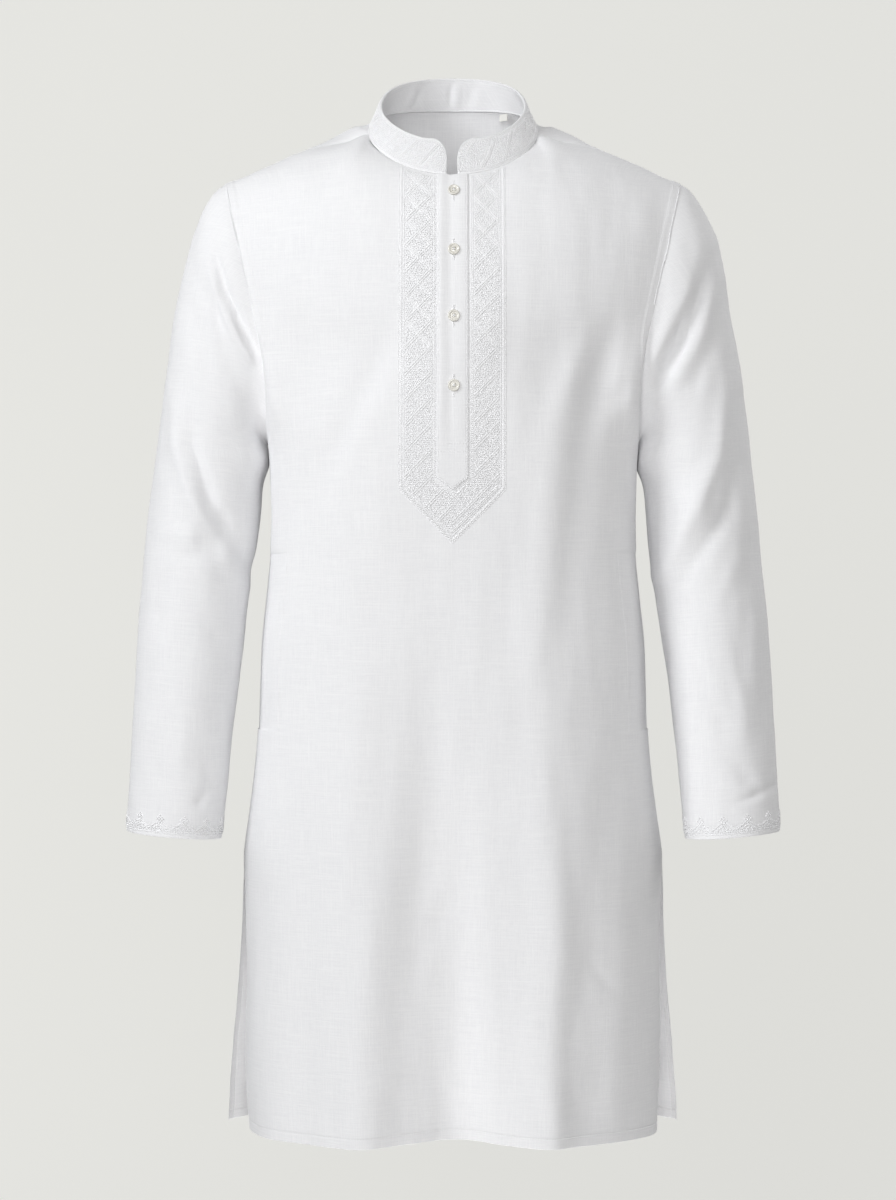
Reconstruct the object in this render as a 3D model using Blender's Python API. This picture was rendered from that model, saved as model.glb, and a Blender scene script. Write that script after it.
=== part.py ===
"""Kurta tunic: a long linen shirt, filled out and hollow, as sewn pieces.

The origin lies between the two neck points of the shoulders. +X is the wearer's left, -Y the front
and +Z up. Every panel is a thin wall through a grid of points: columns run across the garment and
rows run down it. Metres throughout.
"""
import math
from collections import namedtuple

import bmesh
import bpy
from mathutils import Matrix, Vector

# Cloth and sewing
CLOTH = 0.0012           # thickness of the linen
COLLAR_CLOTH = 0.0026    # the collar is two plies and an interlining
SEAM_GAP = 0.0003        # between two pieces sewn edge to edge
LAY_GAP = 0.0003         # under a piece that lies on another

# Neck and shoulders
NECK_WIDTH = 0.084       # half the width of the neckline
NECK_DEPTH = 0.075       # half the depth of the neckline, front to back
NECK_BACKWARD = -0.010   # y of the neckline's middle
NECK_DROP = (-0.006, -0.04375, -0.01575)    # height of the neckline by powers of cos(angle)
RIM_WIDTH = 0.072        # the collar's upper rim is narrower than its base
RIM_DEPTH = 0.0625
RIM_BACKWARD = -0.0095
RIM_DROP = (0.021, -0.0425, -0.0095)
SHOULDER_SEAM_ANGLE = 81.0                  # where the shoulder seam meets the neckline, degrees
SHOULDER_TIP = Vector((0.2265, -0.003, -0.063))
COLLAR_END_LEFT = 2.66   # the collar's front ends, degrees round the neckline
COLLAR_END_RIGHT = 3.96
COLLAR_HEIGHT = 0.035
COLLAR_CORNER = (0.0115, 0.019)             # width and height of the rounded front corners

# Armholes
ARMPIT_Z = -0.325
ARM_DEPTH_FRONT = 0.067
ARM_DEPTH_BACK = 0.064
ARM_MIDDLE_Z = (SHOULDER_TIP.z + ARMPIT_Z) / 2
ARM_HALF_HEIGHT = (SHOULDER_TIP.z - ARMPIT_Z) / 2

# Heights down the body
PLACKET_SLOT_Z = -0.358
POCKET_TOP_Z = -0.432
POCKET_BOTTOM_Z = -0.606
SLIT_TOP_Z = -0.732
HEM_Z = -1.002
HEM_LIFT = 0.003         # the hem rises a little at the middle of the front

# Roundness of a level section, as the power of a superellipse
ROUND = 2.4

Level = namedtuple("Level", "z width front back")
BODY = (
    Level(-0.060, 0.226, 0.100, 0.100),
    Level(-0.194, 0.193, 0.121, 0.115),
    Level(-0.260, 0.188, 0.125, 0.112),
    Level(-0.325, 0.184, 0.124, 0.105),
    Level(-0.408, 0.1815, 0.118, 0.094),
    Level(-0.468, 0.1865, 0.115, 0.092),
    Level(-0.523, 0.192, 0.115, 0.098),
    Level(-0.608, 0.1945, 0.117, 0.110),
    Level(-0.668, 0.200, 0.119, 0.117),
    Level(-0.732, 0.2085, 0.121, 0.119),
    Level(-0.828, 0.215, 0.123, 0.118),
    Level(-0.918, 0.222, 0.124, 0.117),
    Level(-1.002, 0.227, 0.125, 0.117),
)

ArmEdge = namedtuple("ArmEdge", "z width")
ARM_EDGE = (
    ArmEdge(-0.063, 0.2265),
    ArmEdge(-0.100, 0.2195),
    ArmEdge(-0.1465, 0.209),
    ArmEdge(-0.186, 0.1975),
    ArmEdge(-0.2374, 0.1865),
    ArmEdge(-0.280, 0.183),
    ArmEdge(-0.325, 0.184),
)

SlitEdge = namedtuple("SlitEdge", "z width forward backward")
SLIT = (
    SlitEdge(-0.732, 0.2085, 0.000, 0.000),
    SlitEdge(-0.797, 0.2065, 0.003, 0.003),
    SlitEdge(-0.860, 0.2050, 0.006, 0.005),
    SlitEdge(-0.905, 0.2055, 0.009, 0.008),
    SlitEdge(-0.957, 0.2040, 0.012, 0.010),
    SlitEdge(-1.002, 0.2015, 0.015, 0.012),
)

# How the cloth leaves its upper edge at the middle, at the neck point and at the tip, in degrees:
# the slope is below level, and the fan is outward from straight ahead
FRONT_SLOPE = (52.0, 16.0, 2.0)
BACK_SLOPE = (64.0, -38.0, -8.0)
FRONT_FAN = (0.0, 26.0, 0.0)
BACK_FAN = (0.0, 34.0, 0.0)
FRONT_FALL = (0.52, 0.52, 0.52)   # how straight it then hangs, as a share of its height
BACK_FALL = (0.42, 0.66, 0.60)

# Sleeves: level sections below the armpit
Cuff = namedtuple("Cuff", "z x y width depth")
SLEEVE = (
    Cuff(-0.385, 0.2478, 0.004, 0.0550, 0.061),
    Cuff(-0.430, 0.2523, 0.001, 0.0546, 0.059),
    Cuff(-0.508, 0.2605, -0.006, 0.0530, 0.055),
    Cuff(-0.597, 0.2679, -0.017, 0.0500, 0.050),
    Cuff(-0.642, 0.2705, -0.022, 0.0487, 0.047),
    Cuff(-0.688, 0.2741, -0.027, 0.0477, 0.044),
    Cuff(-0.7095, 0.2757, -0.030, 0.0468, 0.043),
)
SLEEVE_TILT = 0.085      # the rings stand square to the arm, which hangs a little outward

# How the sleeve leaves the armhole: direction and reach at the seam, and reach at the biceps ring
Cap = namedtuple("Cap", "turn x y z start end")
CAP_FRONT = (
    Cap(0, 0.92, 0.00, -0.39, 0.045, 0.130),
    Cap(45, 0.90, -0.12, -0.42, 0.042, 0.110),
    Cap(90, 0.84, -0.12, -0.52, 0.036, 0.090),
    Cap(135, 0.92, 0.02, 0.10, 0.018, 0.060),
    Cap(180, 0.40, 0.00, 0.92, 0.013, 0.045),
)

# Folds, drawn in a front view: a ridge has a depth above nought, a trough below
Fold = namedtuple("Fold", "x0 z0 x1 z1 width depth0 depth1")
BODY_FRONT_FOLDS = (
    Fold(-0.103, -0.330, -0.091, -1.002, 0.034, 0.001, 0.012),
    Fold(0.112, -0.330, 0.097, -1.002, 0.034, 0.001, 0.012),
    Fold(-0.020, -0.520, 0.002, -1.002, 0.046, -0.001, -0.032),
    Fold(-0.069, -0.239, -0.117, -0.373, 0.022, -0.002, -0.003),
)
BODY_BACK_FOLDS = (
    Fold(-0.085, -0.300, -0.075, -1.002, 0.034, 0.001, 0.010),
    Fold(0.095, -0.300, 0.082, -1.002, 0.034, 0.001, 0.009),
    Fold(0.010, -0.420, 0.004, -1.002, 0.046, -0.003, -0.022),
)
RIGHT_SLEEVE_FRONT_FOLDS = (
    Fold(-0.231, -0.148, -0.217, -0.192, 0.011, -0.003, -0.006),
    Fold(-0.217, -0.192, -0.190, -0.237, 0.011, -0.006, -0.004),
    Fold(-0.255, -0.172, -0.226, -0.256, 0.013, -0.002, -0.004),
    Fold(-0.260, -0.323, -0.233, -0.413, 0.016, -0.001, -0.005),
    Fold(-0.233, -0.413, -0.208, -0.452, 0.015, -0.005, -0.004),
)
LEFT_SLEEVE_FRONT_FOLDS = (
    Fold(0.234, -0.137, 0.203, -0.236, 0.011, 0.002, 0.004),
    Fold(0.239, -0.148, 0.214, -0.218, 0.010, -0.003, -0.006),
    Fold(0.214, -0.218, 0.196, -0.265, 0.010, -0.006, -0.004),
    Fold(0.260, -0.271, 0.234, -0.390, 0.016, 0.001, 0.004),
    Fold(0.234, -0.390, 0.200, -0.454, 0.015, 0.004, 0.003),
)
SLEEVE_BACK_FOLDS = (
    Fold(-0.240, -0.165, -0.212, -0.240, 0.013, -0.002, -0.005),
    Fold(-0.270, -0.330, -0.228, -0.440, 0.016, -0.002, -0.005),
    Fold(0.238, -0.160, 0.214, -0.245, 0.013, -0.002, -0.005),
    Fold(0.272, -0.335, 0.232, -0.432, 0.016, -0.002, -0.005),
)

# Grids: columns from the middle to a side seam, and rows from the top edge to the hem
SLOT_ANGLE = 8.5         # the slot's edge, degrees round the neckline
NECK_STEPS = 5           # columns from the slot to the neck point
BACK_NECK_STEPS = 7      # finer towards the neck point
NECK_SHARE = 0.48        # the columns from the neckline spread over this share of the body
SHOULDER_SHARES = (0.18, 0.36, 0.53, 0.67, 0.79, 0.91, 0.98, 1.0)
POCKET_COLUMNS = 3       # the mouth is open over these outer columns
CAP_ROWS = 6
ARM_ROWS = 5
FALLS = ((PLACKET_SLOT_Z, 1), (POCKET_TOP_Z, 2), (POCKET_BOTTOM_Z, 4), (SLIT_TOP_Z, 3), (HEM_Z, 7))
SLEEVE_CAP_ROWS = 8
SLEEVE_ROWS = 11
COLLAR_ROWS = 4

# Placket, buttons, pockets and label
OVERLAP_X = (-0.0153, 0.0141)
UNDERLAP_X = (-0.0190, 0.0115)
POINT_SHOULDER_Z = -0.3614
POINT_TIP_Z = -0.3725
STRIP_INSET = 0.0006     # the placket's bands stop just short of the collar
BUTTON_X = 0.0006
BUTTON_Z = (-0.0832, -0.1421, -0.2066, -0.2732)
BUTTON_RADIUS = 0.0058
BUTTON_HEIGHT = 0.0024
BUTTON_DISH = 0.0006
BUTTON_SIDES = 24
LABEL_ANGLE = 136.0
LABEL_SIZE = (0.010, 0.007, 0.0006)
LABEL_INWARD = 0.0034
LABEL_DROP = 0.0022

RIM_ORDER = Vector((0.11, 0.37, 1))
INSIDE = Vector((0, 0, -0.3))   # a point inside the garment, so that every wall knows its outer side

# Colours, as linear values
LINEN = (0.88, 0.88, 0.87)
PEARL = (0.72, 0.69, 0.63)


def read(rows, key, column):
    """A smooth value of one column of a table whose first column falls (or rises) row by row."""
    keys = [row[0] for row in rows]
    values = [getattr(row, column) for row in rows]
    falling = keys[0] > keys[-1]
    if falling:
        keys = [-k for k in keys]
        key = -key
    key = min(max(key, keys[0]), keys[-1])
    i = max(j for j in range(len(keys) - 1) if keys[j] <= key or j == 0)
    slopes = []
    for j in (i, i + 1):
        before = max(j - 1, 0)
        after = min(j + 1, len(keys) - 1)
        slopes.append((values[after] - values[before]) / (keys[after] - keys[before]))
    span = keys[i + 1] - keys[i]
    t = (key - keys[i]) / span
    a = values[i] * (2 * t**3 - 3 * t**2 + 1) + values[i + 1] * (3 * t**2 - 2 * t**3)
    return a + span * (slopes[0] * (t**3 - 2 * t**2 + t) + slopes[1] * (t**3 - t**2))


def blend(a, b, t):
    """A straight mix of two numbers or points."""
    return a + (b - a) * t


def smooth_step(t):
    """A soft ramp from 0 to 1."""
    t = min(max(t, 0.0), 1.0)
    return t * t * (3 - 2 * t)


def bezier(p0, p1, p2, p3, t):
    """A point on a cubic curve."""
    u = 1 - t
    return p0 * u**3 + p1 * (3 * u * u * t) + p2 * (3 * u * t * t) + p3 * t**3


def powers(terms, angle):
    """A height given by powers of the cosine of an angle round the neck."""
    c = math.cos(math.radians(angle))
    return terms[0] + terms[1] * c + terms[2] * c * c


def sideways(angle):
    """The share of the neck's half width at an angle; it is widest at the shoulder seams."""
    around = angle if angle <= 180 else 360 - angle
    if around <= SHOULDER_SEAM_ANGLE:
        quarter = 90 * around / SHOULDER_SEAM_ANGLE
    else:
        quarter = 90 + 90 * (around - SHOULDER_SEAM_ANGLE) / (180 - SHOULDER_SEAM_ANGLE)
    share = math.sin(math.radians(quarter))
    return share if angle <= 180 else -share


def neckline(angle):
    """The seam where the collar meets the body; 0 is the middle front, 180 the middle back."""
    y = NECK_BACKWARD - NECK_DEPTH * math.cos(math.radians(angle))
    return Vector((NECK_WIDTH * sideways(angle), y, powers(NECK_DROP, angle)))


def collar_rim(angle):
    """The collar's upper edge, before its corners are rounded."""
    y = RIM_BACKWARD - RIM_DEPTH * math.cos(math.radians(angle))
    return Vector((RIM_WIDTH * sideways(angle), y, powers(RIM_DROP, angle)))


def round_share(s, power):
    """How far a level section stands out at the share s of its half width."""
    return (max(0.0, 1 - abs(s) ** power)) ** (1 / power)


def fold_offset(folds, x, z):
    """How far the folds push the cloth out at a place in the front view."""
    total = 0.0
    for fold in folds:
        across = Vector((fold.x1 - fold.x0, fold.z1 - fold.z0))
        place = Vector((x - fold.x0, z - fold.z0))
        along = place.dot(across) / across.length_squared
        t = min(max(along, 0.0), 1.0)
        distance = (place - across * t).length
        depth = blend(fold.depth0, fold.depth1, t)
        total += depth * math.exp(-((distance / fold.width) ** 2))
    return total


def armhole(turn, front):
    """A place on the right-hand armhole seam; turn runs from 0 at the tip to 180 under the arm."""
    a = math.radians(turn)
    z = ARM_MIDDLE_Z + ARM_HALF_HEIGHT * math.cos(a)
    depth = -ARM_DEPTH_FRONT if front else ARM_DEPTH_BACK
    y = SHOULDER_TIP.y * (1 - turn / 180) + depth * math.sin(a)
    return Vector((read(ARM_EDGE, z, "width"), y, z))


def section(s, z, front):
    """The body at a level at or under the middle of the armhole; s is a share of the half width."""
    column = "front" if front else "back"
    sign = -1 if front else 1
    depth = sign * read(BODY, z, column)
    if z > ARMPIT_Z:
        turn = math.degrees(math.acos((z - ARM_MIDDLE_Z) / ARM_HALF_HEIGHT))
        edge = armhole(turn, front)
        under = smooth_step((ARM_MIDDLE_Z - z) / ARM_HALF_HEIGHT)
        share = blend(1 - abs(s) ** ROUND, round_share(s, ROUND), under)
        pull = abs(s) ** (ROUND + 6 * under)
        return Vector((edge.x * s, depth * share + edge.y * pull, z))
    width = read(BODY, z, "width")
    edge_y = 0.0
    if z < SLIT_TOP_Z:
        edge_y = sign * read(SLIT, z, "forward" if front else "backward")
        if front:
            width = read(SLIT, z, "width")
    return Vector((width * s, blend(edge_y, depth, round_share(s, ROUND)), z))


def top_edge(column):
    """The upper edge of a panel: the neckline, then the shoulder seam out to the tip."""
    if column.seam is None:
        point = neckline(column.angle)
    else:
        point = neckline(SHOULDER_SEAM_ANGLE).lerp(SHOULDER_TIP, column.seam)
    point.x *= column.side
    return point


def at_top(values, column, front):
    """A value along a panel's upper edge, from its values at the middle, neck point and tip."""
    middle, neck, tip = values
    if column.seam is not None:
        return blend(neck, tip, smooth_step(column.seam * 1.4))
    angle = column.angle
    share = angle / SHOULDER_SEAM_ANGLE if front else (180 - angle) / (180 - SHOULDER_SEAM_ANGLE)
    return blend(middle, neck, share**1.5)


def shoulder(column, t, front):
    """The body above the middle of the armhole: t runs from the upper edge down to that level."""
    sign = -1 if front else 1
    side = column.side
    top = top_edge(column)
    foot = section(column.share, ARM_MIDDLE_Z, front)
    below = section(column.share, ARM_MIDDLE_Z - 0.01, front)
    slope = math.radians(at_top(FRONT_SLOPE if front else BACK_SLOPE, column, front))
    fan = math.radians(at_top(FRONT_FAN if front else BACK_FAN, column, front))
    away = Vector((side * math.sin(fan), sign * math.cos(fan), 0)) * math.cos(slope)
    away.z = -math.sin(slope)
    reach = abs(foot.y - top.y) * 0.50 + 0.012
    fall = (top.z - foot.z) * at_top(FRONT_FALL if front else BACK_FALL, column, front)
    rise = (foot - below) / 0.01
    return bezier(top, top + away * reach, foot + rise * fall, foot, t)


Column = namedtuple("Column", "side share angle seam")


def columns(front):
    """The columns of one half panel, from the middle out.

    Each has its share of the half width down the body, and above that either its angle round the
    neckline or its share of the shoulder seam.
    """
    if front:
        reach = SHOULDER_SEAM_ANGLE - SLOT_ANGLE
        angles = [0.0, SLOT_ANGLE]
        angles += [SLOT_ANGLE + reach * (i + 1) / NECK_STEPS for i in range(NECK_STEPS)]
    else:
        reach = 180 - SHOULDER_SEAM_ANGLE
        steps = [1 - (1 - i / BACK_NECK_STEPS) ** 1.3 for i in range(BACK_NECK_STEPS + 1)]
        angles = [180 - reach * step for step in steps]
    quarter = angles[-1] - angles[0]
    result = [Column(1, NECK_SHARE * (a - angles[0]) / quarter, a, None) for a in angles]
    for seam in SHOULDER_SHARES:
        result.append(Column(1, blend(NECK_SHARE, 1.0, seam), None, seam))
    return result


def levels():
    """The rows of a panel: (kind, value), where a turn is round the armhole and a z is a level."""
    result = [("shoulder", i / CAP_ROWS) for i in range(CAP_ROWS)]
    for i in range(ARM_ROWS):
        turn = math.radians(90 + 90 * i / ARM_ROWS)
        result.append(("level", ARM_MIDDLE_Z + ARM_HALF_HEIGHT * math.cos(turn)))
    result.append(("level", ARMPIT_Z))
    start = ARMPIT_Z
    for end, count in FALLS:
        result += [("level", blend(start, end, (i + 1) / count)) for i in range(count)]
        start = end
    return result


def panel_points(front):
    """The outer points of the front or the back, a list of rows from the wearer's right to left."""
    half = columns(front)
    mirrored = [c._replace(side=-1, share=-c.share) for c in reversed(half[1:])]
    across = mirrored + half
    folds = BODY_FRONT_FOLDS if front else BODY_BACK_FOLDS
    sign = -1 if front else 1
    rows = []
    for kind, value in levels():
        row = []
        for column in across:
            s = column.share
            if kind == "shoulder":
                point = shoulder(column, value, front)
            else:
                point = section(s, value, front)
            calm = (1 - abs(s) ** 6) * min(1.0, max(0.0, (-0.15 - point.z) / 0.1))
            point.y += sign * calm * fold_offset(folds, point.x, point.z)
            if front and point.z < SLIT_TOP_Z:
                down = (SLIT_TOP_Z - point.z) / (SLIT_TOP_Z - HEM_Z)
                point.z += HEM_LIFT * down * math.exp(-((s / 0.3) ** 2))
            row.append(point)
        rows.append(row)
    return rows


def level_row(z):
    """The number of the row nearest to a level below the armpit."""
    heights = [value if kind == "level" else 0.0 for kind, value in levels()]
    return min(range(len(heights)), key=lambda i: abs(heights[i] - z))


def sleeve_ring(z, turn, side):
    """A point on a level section of a sleeve; turn 0 is outward, 90 the front, 180 the body side."""
    a = math.radians(turn)
    width = read(SLEEVE, z, "width")
    out = width * math.cos(a)
    y = read(SLEEVE, z, "y") - read(SLEEVE, z, "depth") * math.sin(a)
    return Vector((side * (read(SLEEVE, z, "x") + out), y, z + SLEEVE_TILT * out))


def sleeve_points(side, front_edge, back_edge):
    """The outer points of a sleeve, from the armhole down to the cuff, round from the shoulder tip."""
    seam = front_edge + back_edge[-2::-1]
    count = len(seam) - 1
    fronts = LEFT_SLEEVE_FRONT_FOLDS if side > 0 else RIGHT_SLEEVE_FRONT_FOLDS
    ring_z = SLEEVE[0].z
    cuff_z = SLEEVE[-1].z
    rows = []
    for j in range(SLEEVE_CAP_ROWS + SLEEVE_ROWS + 1):
        row = []
        for k, start in enumerate(seam):
            turn = 360 * k / count
            around = turn if turn <= 180 else 360 - turn
            ring = sleeve_ring(ring_z, turn, side)
            if j >= SLEEVE_CAP_ROWS:
                z = blend(ring_z, cuff_z, (j - SLEEVE_CAP_ROWS) / SLEEVE_ROWS)
                point = sleeve_ring(z, turn, side)
            else:
                t = (j / SLEEVE_CAP_ROWS) ** 1.35
                away = Vector([read(CAP_FRONT, around, axis) for axis in "xyz"]).normalized()
                away.x *= side
                away.y *= 1 if turn <= 180 else -1
                up = Vector((-side * 0.095, 0.07, 1)).normalized()
                reach = read(CAP_FRONT, around, "start")
                lift = read(CAP_FRONT, around, "end")
                point = bezier(start, start + away * reach, ring + up * lift, ring, t)
            middle = Vector((side * read(SLEEVE, point.z, "x"), read(SLEEVE, point.z, "y"), point.z))
            out = (point - middle).normalized()
            facing = abs(math.sin(math.radians(turn)))
            calm = min(1.0, j / 3) * facing
            folds = fronts if turn <= 180 else SLEEVE_BACK_FOLDS
            row.append(point + out * calm * fold_offset(folds, point.x, point.z))
        rows.append(row)
    return rows


def collar_angles():
    """The collar's columns, round from its wearer's-left end by the back to its other end."""
    front = [column.angle for column in columns(True) if column.seam is None][1:]
    back = [column.angle for column in columns(False) if column.seam is None]
    half = front + back[-2::-1]
    ends = [(COLLAR_END_LEFT, 5.0), (COLLAR_END_RIGHT, 6.0)]
    left = list(ends[0]) + half
    right = list(ends[1]) + half
    return left + [360 - angle for angle in right[-2::-1]]


def collar_points():
    """The outer points of the collar, from its base up to its rim."""
    rows = []
    for i in range(COLLAR_ROWS + 1):
        row = []
        for angle in collar_angles():
            end = COLLAR_END_LEFT if angle <= 180 else COLLAR_END_RIGHT
            from_end = min(angle, 360 - angle) - end
            distance = math.radians(max(from_end, 0.0)) * NECK_WIDTH
            width, height = COLLAR_CORNER
            cut = 1 - min(distance / width, 1.0)
            share = 1 - height / COLLAR_HEIGHT * (1 - math.sqrt(1 - cut * cut))
            row.append(neckline(angle).lerp(collar_rim(angle), share * i / COLLAR_ROWS))
        rows.append(row)
    return rows


class Cloth:
    """A grid of outer points with the outward directions and the seam edges of one piece."""

    def __init__(self, name, points, thickness=CLOTH, tube=False):
        self.name = name
        self.points = points
        self.thickness = thickness
        self.tube = tube
        self.shift = {}
        self.given = {}
        self.missing = set()
        centre = sum((p for row in points for p in row), Vector()) / (len(points) * len(points[0]))
        self.inside = centre if tube else INSIDE

    def at(self, place):
        return self.points[place[0]][place[1]]

    def normal(self, row, col):
        """The outward direction at a point: the seam's, or one across its neighbours."""
        if (row, col) in self.given:
            return self.given[(row, col)].normalized()
        last_row = len(self.points) - 1
        last_col = len(self.points[0]) - 1
        left, right = max(col - 1, 0), min(col + 1, last_col)
        if self.tube and col in (0, last_col):
            left, right = last_col - 1, 1
        above, below = max(row - 1, 0), min(row + 1, last_row)
        across = self.points[row][right] - self.points[row][left]
        down = self.points[below][col] - self.points[above][col]
        normal = across.cross(down).normalized()
        return -normal if self.turned() else normal

    def turned(self):
        """Whether the grid's own cross product points inward."""
        row = len(self.points) // 2
        col = len(self.points[0]) // 2
        across = self.points[row][col + 1] - self.points[row][col - 1]
        down = self.points[row + 1][col] - self.points[row - 1][col]
        centre = Vector((self.inside.x, self.inside.y, self.points[row][col].z - 0.02))
        return across.cross(down).dot(self.points[row][col] - centre) < 0

    def settle(self):
        """Draws the sewn edges back by half a seam gap."""
        for (row, col), amount in self.shift.items():
            self.points[row][col] = self.points[row][col] + amount
        self.shift = {}


def sew(a, a_edge, a_next, b, b_edge, b_next):
    """Gives two pieces that meet along one line a common direction there and a gap between them."""
    for i, (pa, na, pb, nb) in enumerate(zip(a_edge, a_next, b_edge, b_next)):
        before = a_edge[max(i - 1, 0)]
        after = a_edge[min(i + 1, len(a_edge) - 1)]
        along = (a.at(after) - a.at(before)).normalized()
        across = b.at(nb) - a.at(na)
        across = (across - along * across.dot(along)).normalized()
        normal = along.cross(across)
        if normal.dot(a.at(pa) - INSIDE) < 0:
            normal = -normal
        for piece, place, sign in ((a, pa, -1), (b, pb, 1)):
            piece.given[place] = piece.given.get(place, Vector()) + normal
            half = across * (sign * SEAM_GAP / 2)
            piece.shift[place] = piece.shift.get(place, Vector()) + half


def material(name, colour, roughness):
    """A plain surface."""
    made = bpy.data.materials.new(name)
    made.use_nodes = True
    shader = made.node_tree.nodes["Principled BSDF"]
    shader.inputs["Base Color"].default_value = (*colour, 1.0)
    shader.inputs["Roughness"].default_value = roughness
    return made


def add_object(name, bm, surface):
    """Puts a finished mesh into the scene."""
    bmesh.ops.recalc_face_normals(bm, faces=bm.faces[:])
    mesh = bpy.data.meshes.new(name)
    bm.to_mesh(mesh)
    bm.free()
    mesh.materials.append(surface)
    mesh.shade_smooth()
    mesh.set_sharp_from_angle(angle=math.radians(40))
    made = bpy.data.objects.new(name, mesh)
    bpy.context.scene.collection.objects.link(made)
    return made


def build_wall(cloth, surface):
    """Makes the closed wall of a piece: a grid on its outer points, drawn inward by its thickness."""
    rows = len(cloth.points)
    cols = len(cloth.points[0])
    bm = bmesh.new()
    bmesh.ops.create_grid(bm, x_segments=cols - 1, y_segments=rows - 1, size=1.0)
    row_layer = bm.verts.layers.int.new("row")
    col_layer = bm.verts.layers.int.new("col")
    for vert in bm.verts:
        vert[col_layer] = round((vert.co.x + 1) / 2 * (cols - 1))
        vert[row_layer] = round((vert.co.y + 1) / 2 * (rows - 1))
    holes = [f for f in bm.faces if face_place(f, row_layer, col_layer) in cloth.missing]
    bmesh.ops.delete(bm, geom=holes, context="FACES")
    for vert in bm.verts:
        vert.co = cloth.points[vert[row_layer]][vert[col_layer]]
    if cloth.tube:
        ends = [v for v in bm.verts if v[col_layer] in (0, cols - 1)]
        bmesh.ops.remove_doubles(bm, verts=ends, dist=0.00001)
    grown = bmesh.ops.extrude_face_region(bm, geom=bm.faces[:])
    inner = {g for g in grown["geom"] if isinstance(g, bmesh.types.BMVert)}
    for vert in inner:
        vert.co -= cloth.normal(vert[row_layer], vert[col_layer]) * cloth.thickness
    split_rims(bm, inner)
    return add_object(cloth.name, bm, surface)


def split_rims(bm, inner):
    """Splits each face of the rim along the diagonal that its neighbour across a seam also takes."""
    for face in list(bm.faces):
        outer = [v for v in face.verts if v not in inner]
        if len(outer) != 2:
            continue
        outer.sort(key=lambda v: v.co.dot(RIM_ORDER))
        below = {edge.other_vert(outer[0]) for edge in outer[0].link_edges}
        far = next(v for v in face.verts if v in inner and v in below)
        bmesh.ops.connect_verts(bm, verts=[outer[1], far])


def face_place(face, row_layer, col_layer):
    """The row and column of a grid face, which are its lowest vertex's."""
    return (min(v[row_layer] for v in face.verts), min(v[col_layer] for v in face.verts))


def on_row(cloth, row, x):
    """The outer point and direction of a panel at a width x along one of its rows, facing front."""
    points = cloth.points[row]
    middle = len(points) // 2
    col = middle if x >= 0 else middle - 1
    step = 1 if x >= 0 else -1
    while not min(points[col].x, points[col + 1].x) <= x <= max(points[col].x, points[col + 1].x):
        col += step
    t = (x - points[col].x) / (points[col + 1].x - points[col].x)
    normal = cloth.normal(row, col).lerp(cloth.normal(row, col + 1), t).normalized()
    return points[col].lerp(points[col + 1], t), normal


def on_front(cloth, x, z):
    """The outer point and direction of a panel at a width x and a height z."""
    for row in range(len(cloth.points) - 1):
        upper, upper_normal = on_row(cloth, row, x)
        lower, lower_normal = on_row(cloth, row + 1, x)
        if upper.z >= z >= lower.z:
            t = (upper.z - z) / (upper.z - lower.z)
            return upper.lerp(lower, t), upper_normal.lerp(lower_normal, t).normalized()
    return upper, upper_normal


def strip(name, host, widths, ends, lift):
    """A band that lies on, or with a lift below nought under, the front along its middle."""
    last = max(row for row in range(len(host.points)) if on_row(host, row, 0.0)[0].z > max(ends))
    lines = [[on_row(host, row, x) for x in widths] for row in range(last + 1)]
    lines.append([on_front(host, x, z) for x, z in zip(widths, ends)])
    lines[0] = [
        (point.lerp(below, STRIP_INSET / (below - point).length), normal)
        for (point, normal), (below, below_normal) in zip(lines[0], lines[1])
    ]
    points = [[point + normal * lift for point, normal in line] for line in lines]
    directions = [[normal for point, normal in line] for line in lines]
    band = Cloth(name, points)
    for row, line in enumerate(directions):
        for col, normal in enumerate(line):
            band.given[(row, col)] = normal
    return band


def pocket_facing(name, front, side):
    """The strip inside a pocket mouth, just under the front, out to the side seam."""
    last_col = len(front.points[0]) - 1
    inner = POCKET_COLUMNS + 1
    if side > 0:
        cols = list(range(last_col - inner, last_col + 1))
    else:
        cols = list(range(0, inner + 1))
    rows = range(level_row(POCKET_TOP_Z) - 1, level_row(POCKET_BOTTOM_Z) + 2)
    depth = front.thickness + LAY_GAP
    points = [[front.points[r][c] - front.normal(r, c) * depth for c in cols] for r in rows]
    facing = Cloth(name, points)
    for i, r in enumerate(rows):
        for j, c in enumerate(cols):
            facing.given[(i, j)] = front.normal(r, c)
    return facing


def facing_matrix(point, normal, up):
    """A place whose Z axis is the normal and whose Y axis runs as nearly as it can along up."""
    z = normal.normalized()
    x = up.cross(z).normalized()
    y = z.cross(x)
    turn = Matrix((x, y, z)).transposed().to_4x4()
    return Matrix.Translation(point) @ turn


def build_button(name, point, normal, surface):
    """A round button with a soft rim and a dished face, standing just off the placket."""
    bm = bmesh.new()
    bmesh.ops.create_cone(
        bm, cap_ends=True, segments=BUTTON_SIDES, radius1=BUTTON_RADIUS, radius2=BUTTON_RADIUS,
        depth=BUTTON_HEIGHT,
    )
    bmesh.ops.translate(bm, vec=(0, 0, BUTTON_HEIGHT / 2), verts=bm.verts[:])
    caps = [f for f in bm.faces if len(f.verts) > 4]
    rims = [e for f in caps for e in f.edges]
    bmesh.ops.bevel(
        bm, geom=rims, offset=0.0006, offset_type="OFFSET", affect="EDGES", segments=2,
        profile=0.5, material=-1,
    )
    top = max((f for f in bm.faces if len(f.verts) > 4), key=lambda f: f.calc_center_median().z)
    bmesh.ops.inset_individual(bm, faces=[top], thickness=0.0010, depth=-BUTTON_DISH)
    made = add_object(name, bm, surface)
    made.matrix_world = facing_matrix(point + normal * LAY_GAP, normal, Vector((0, 0, 1)))
    return made


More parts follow.
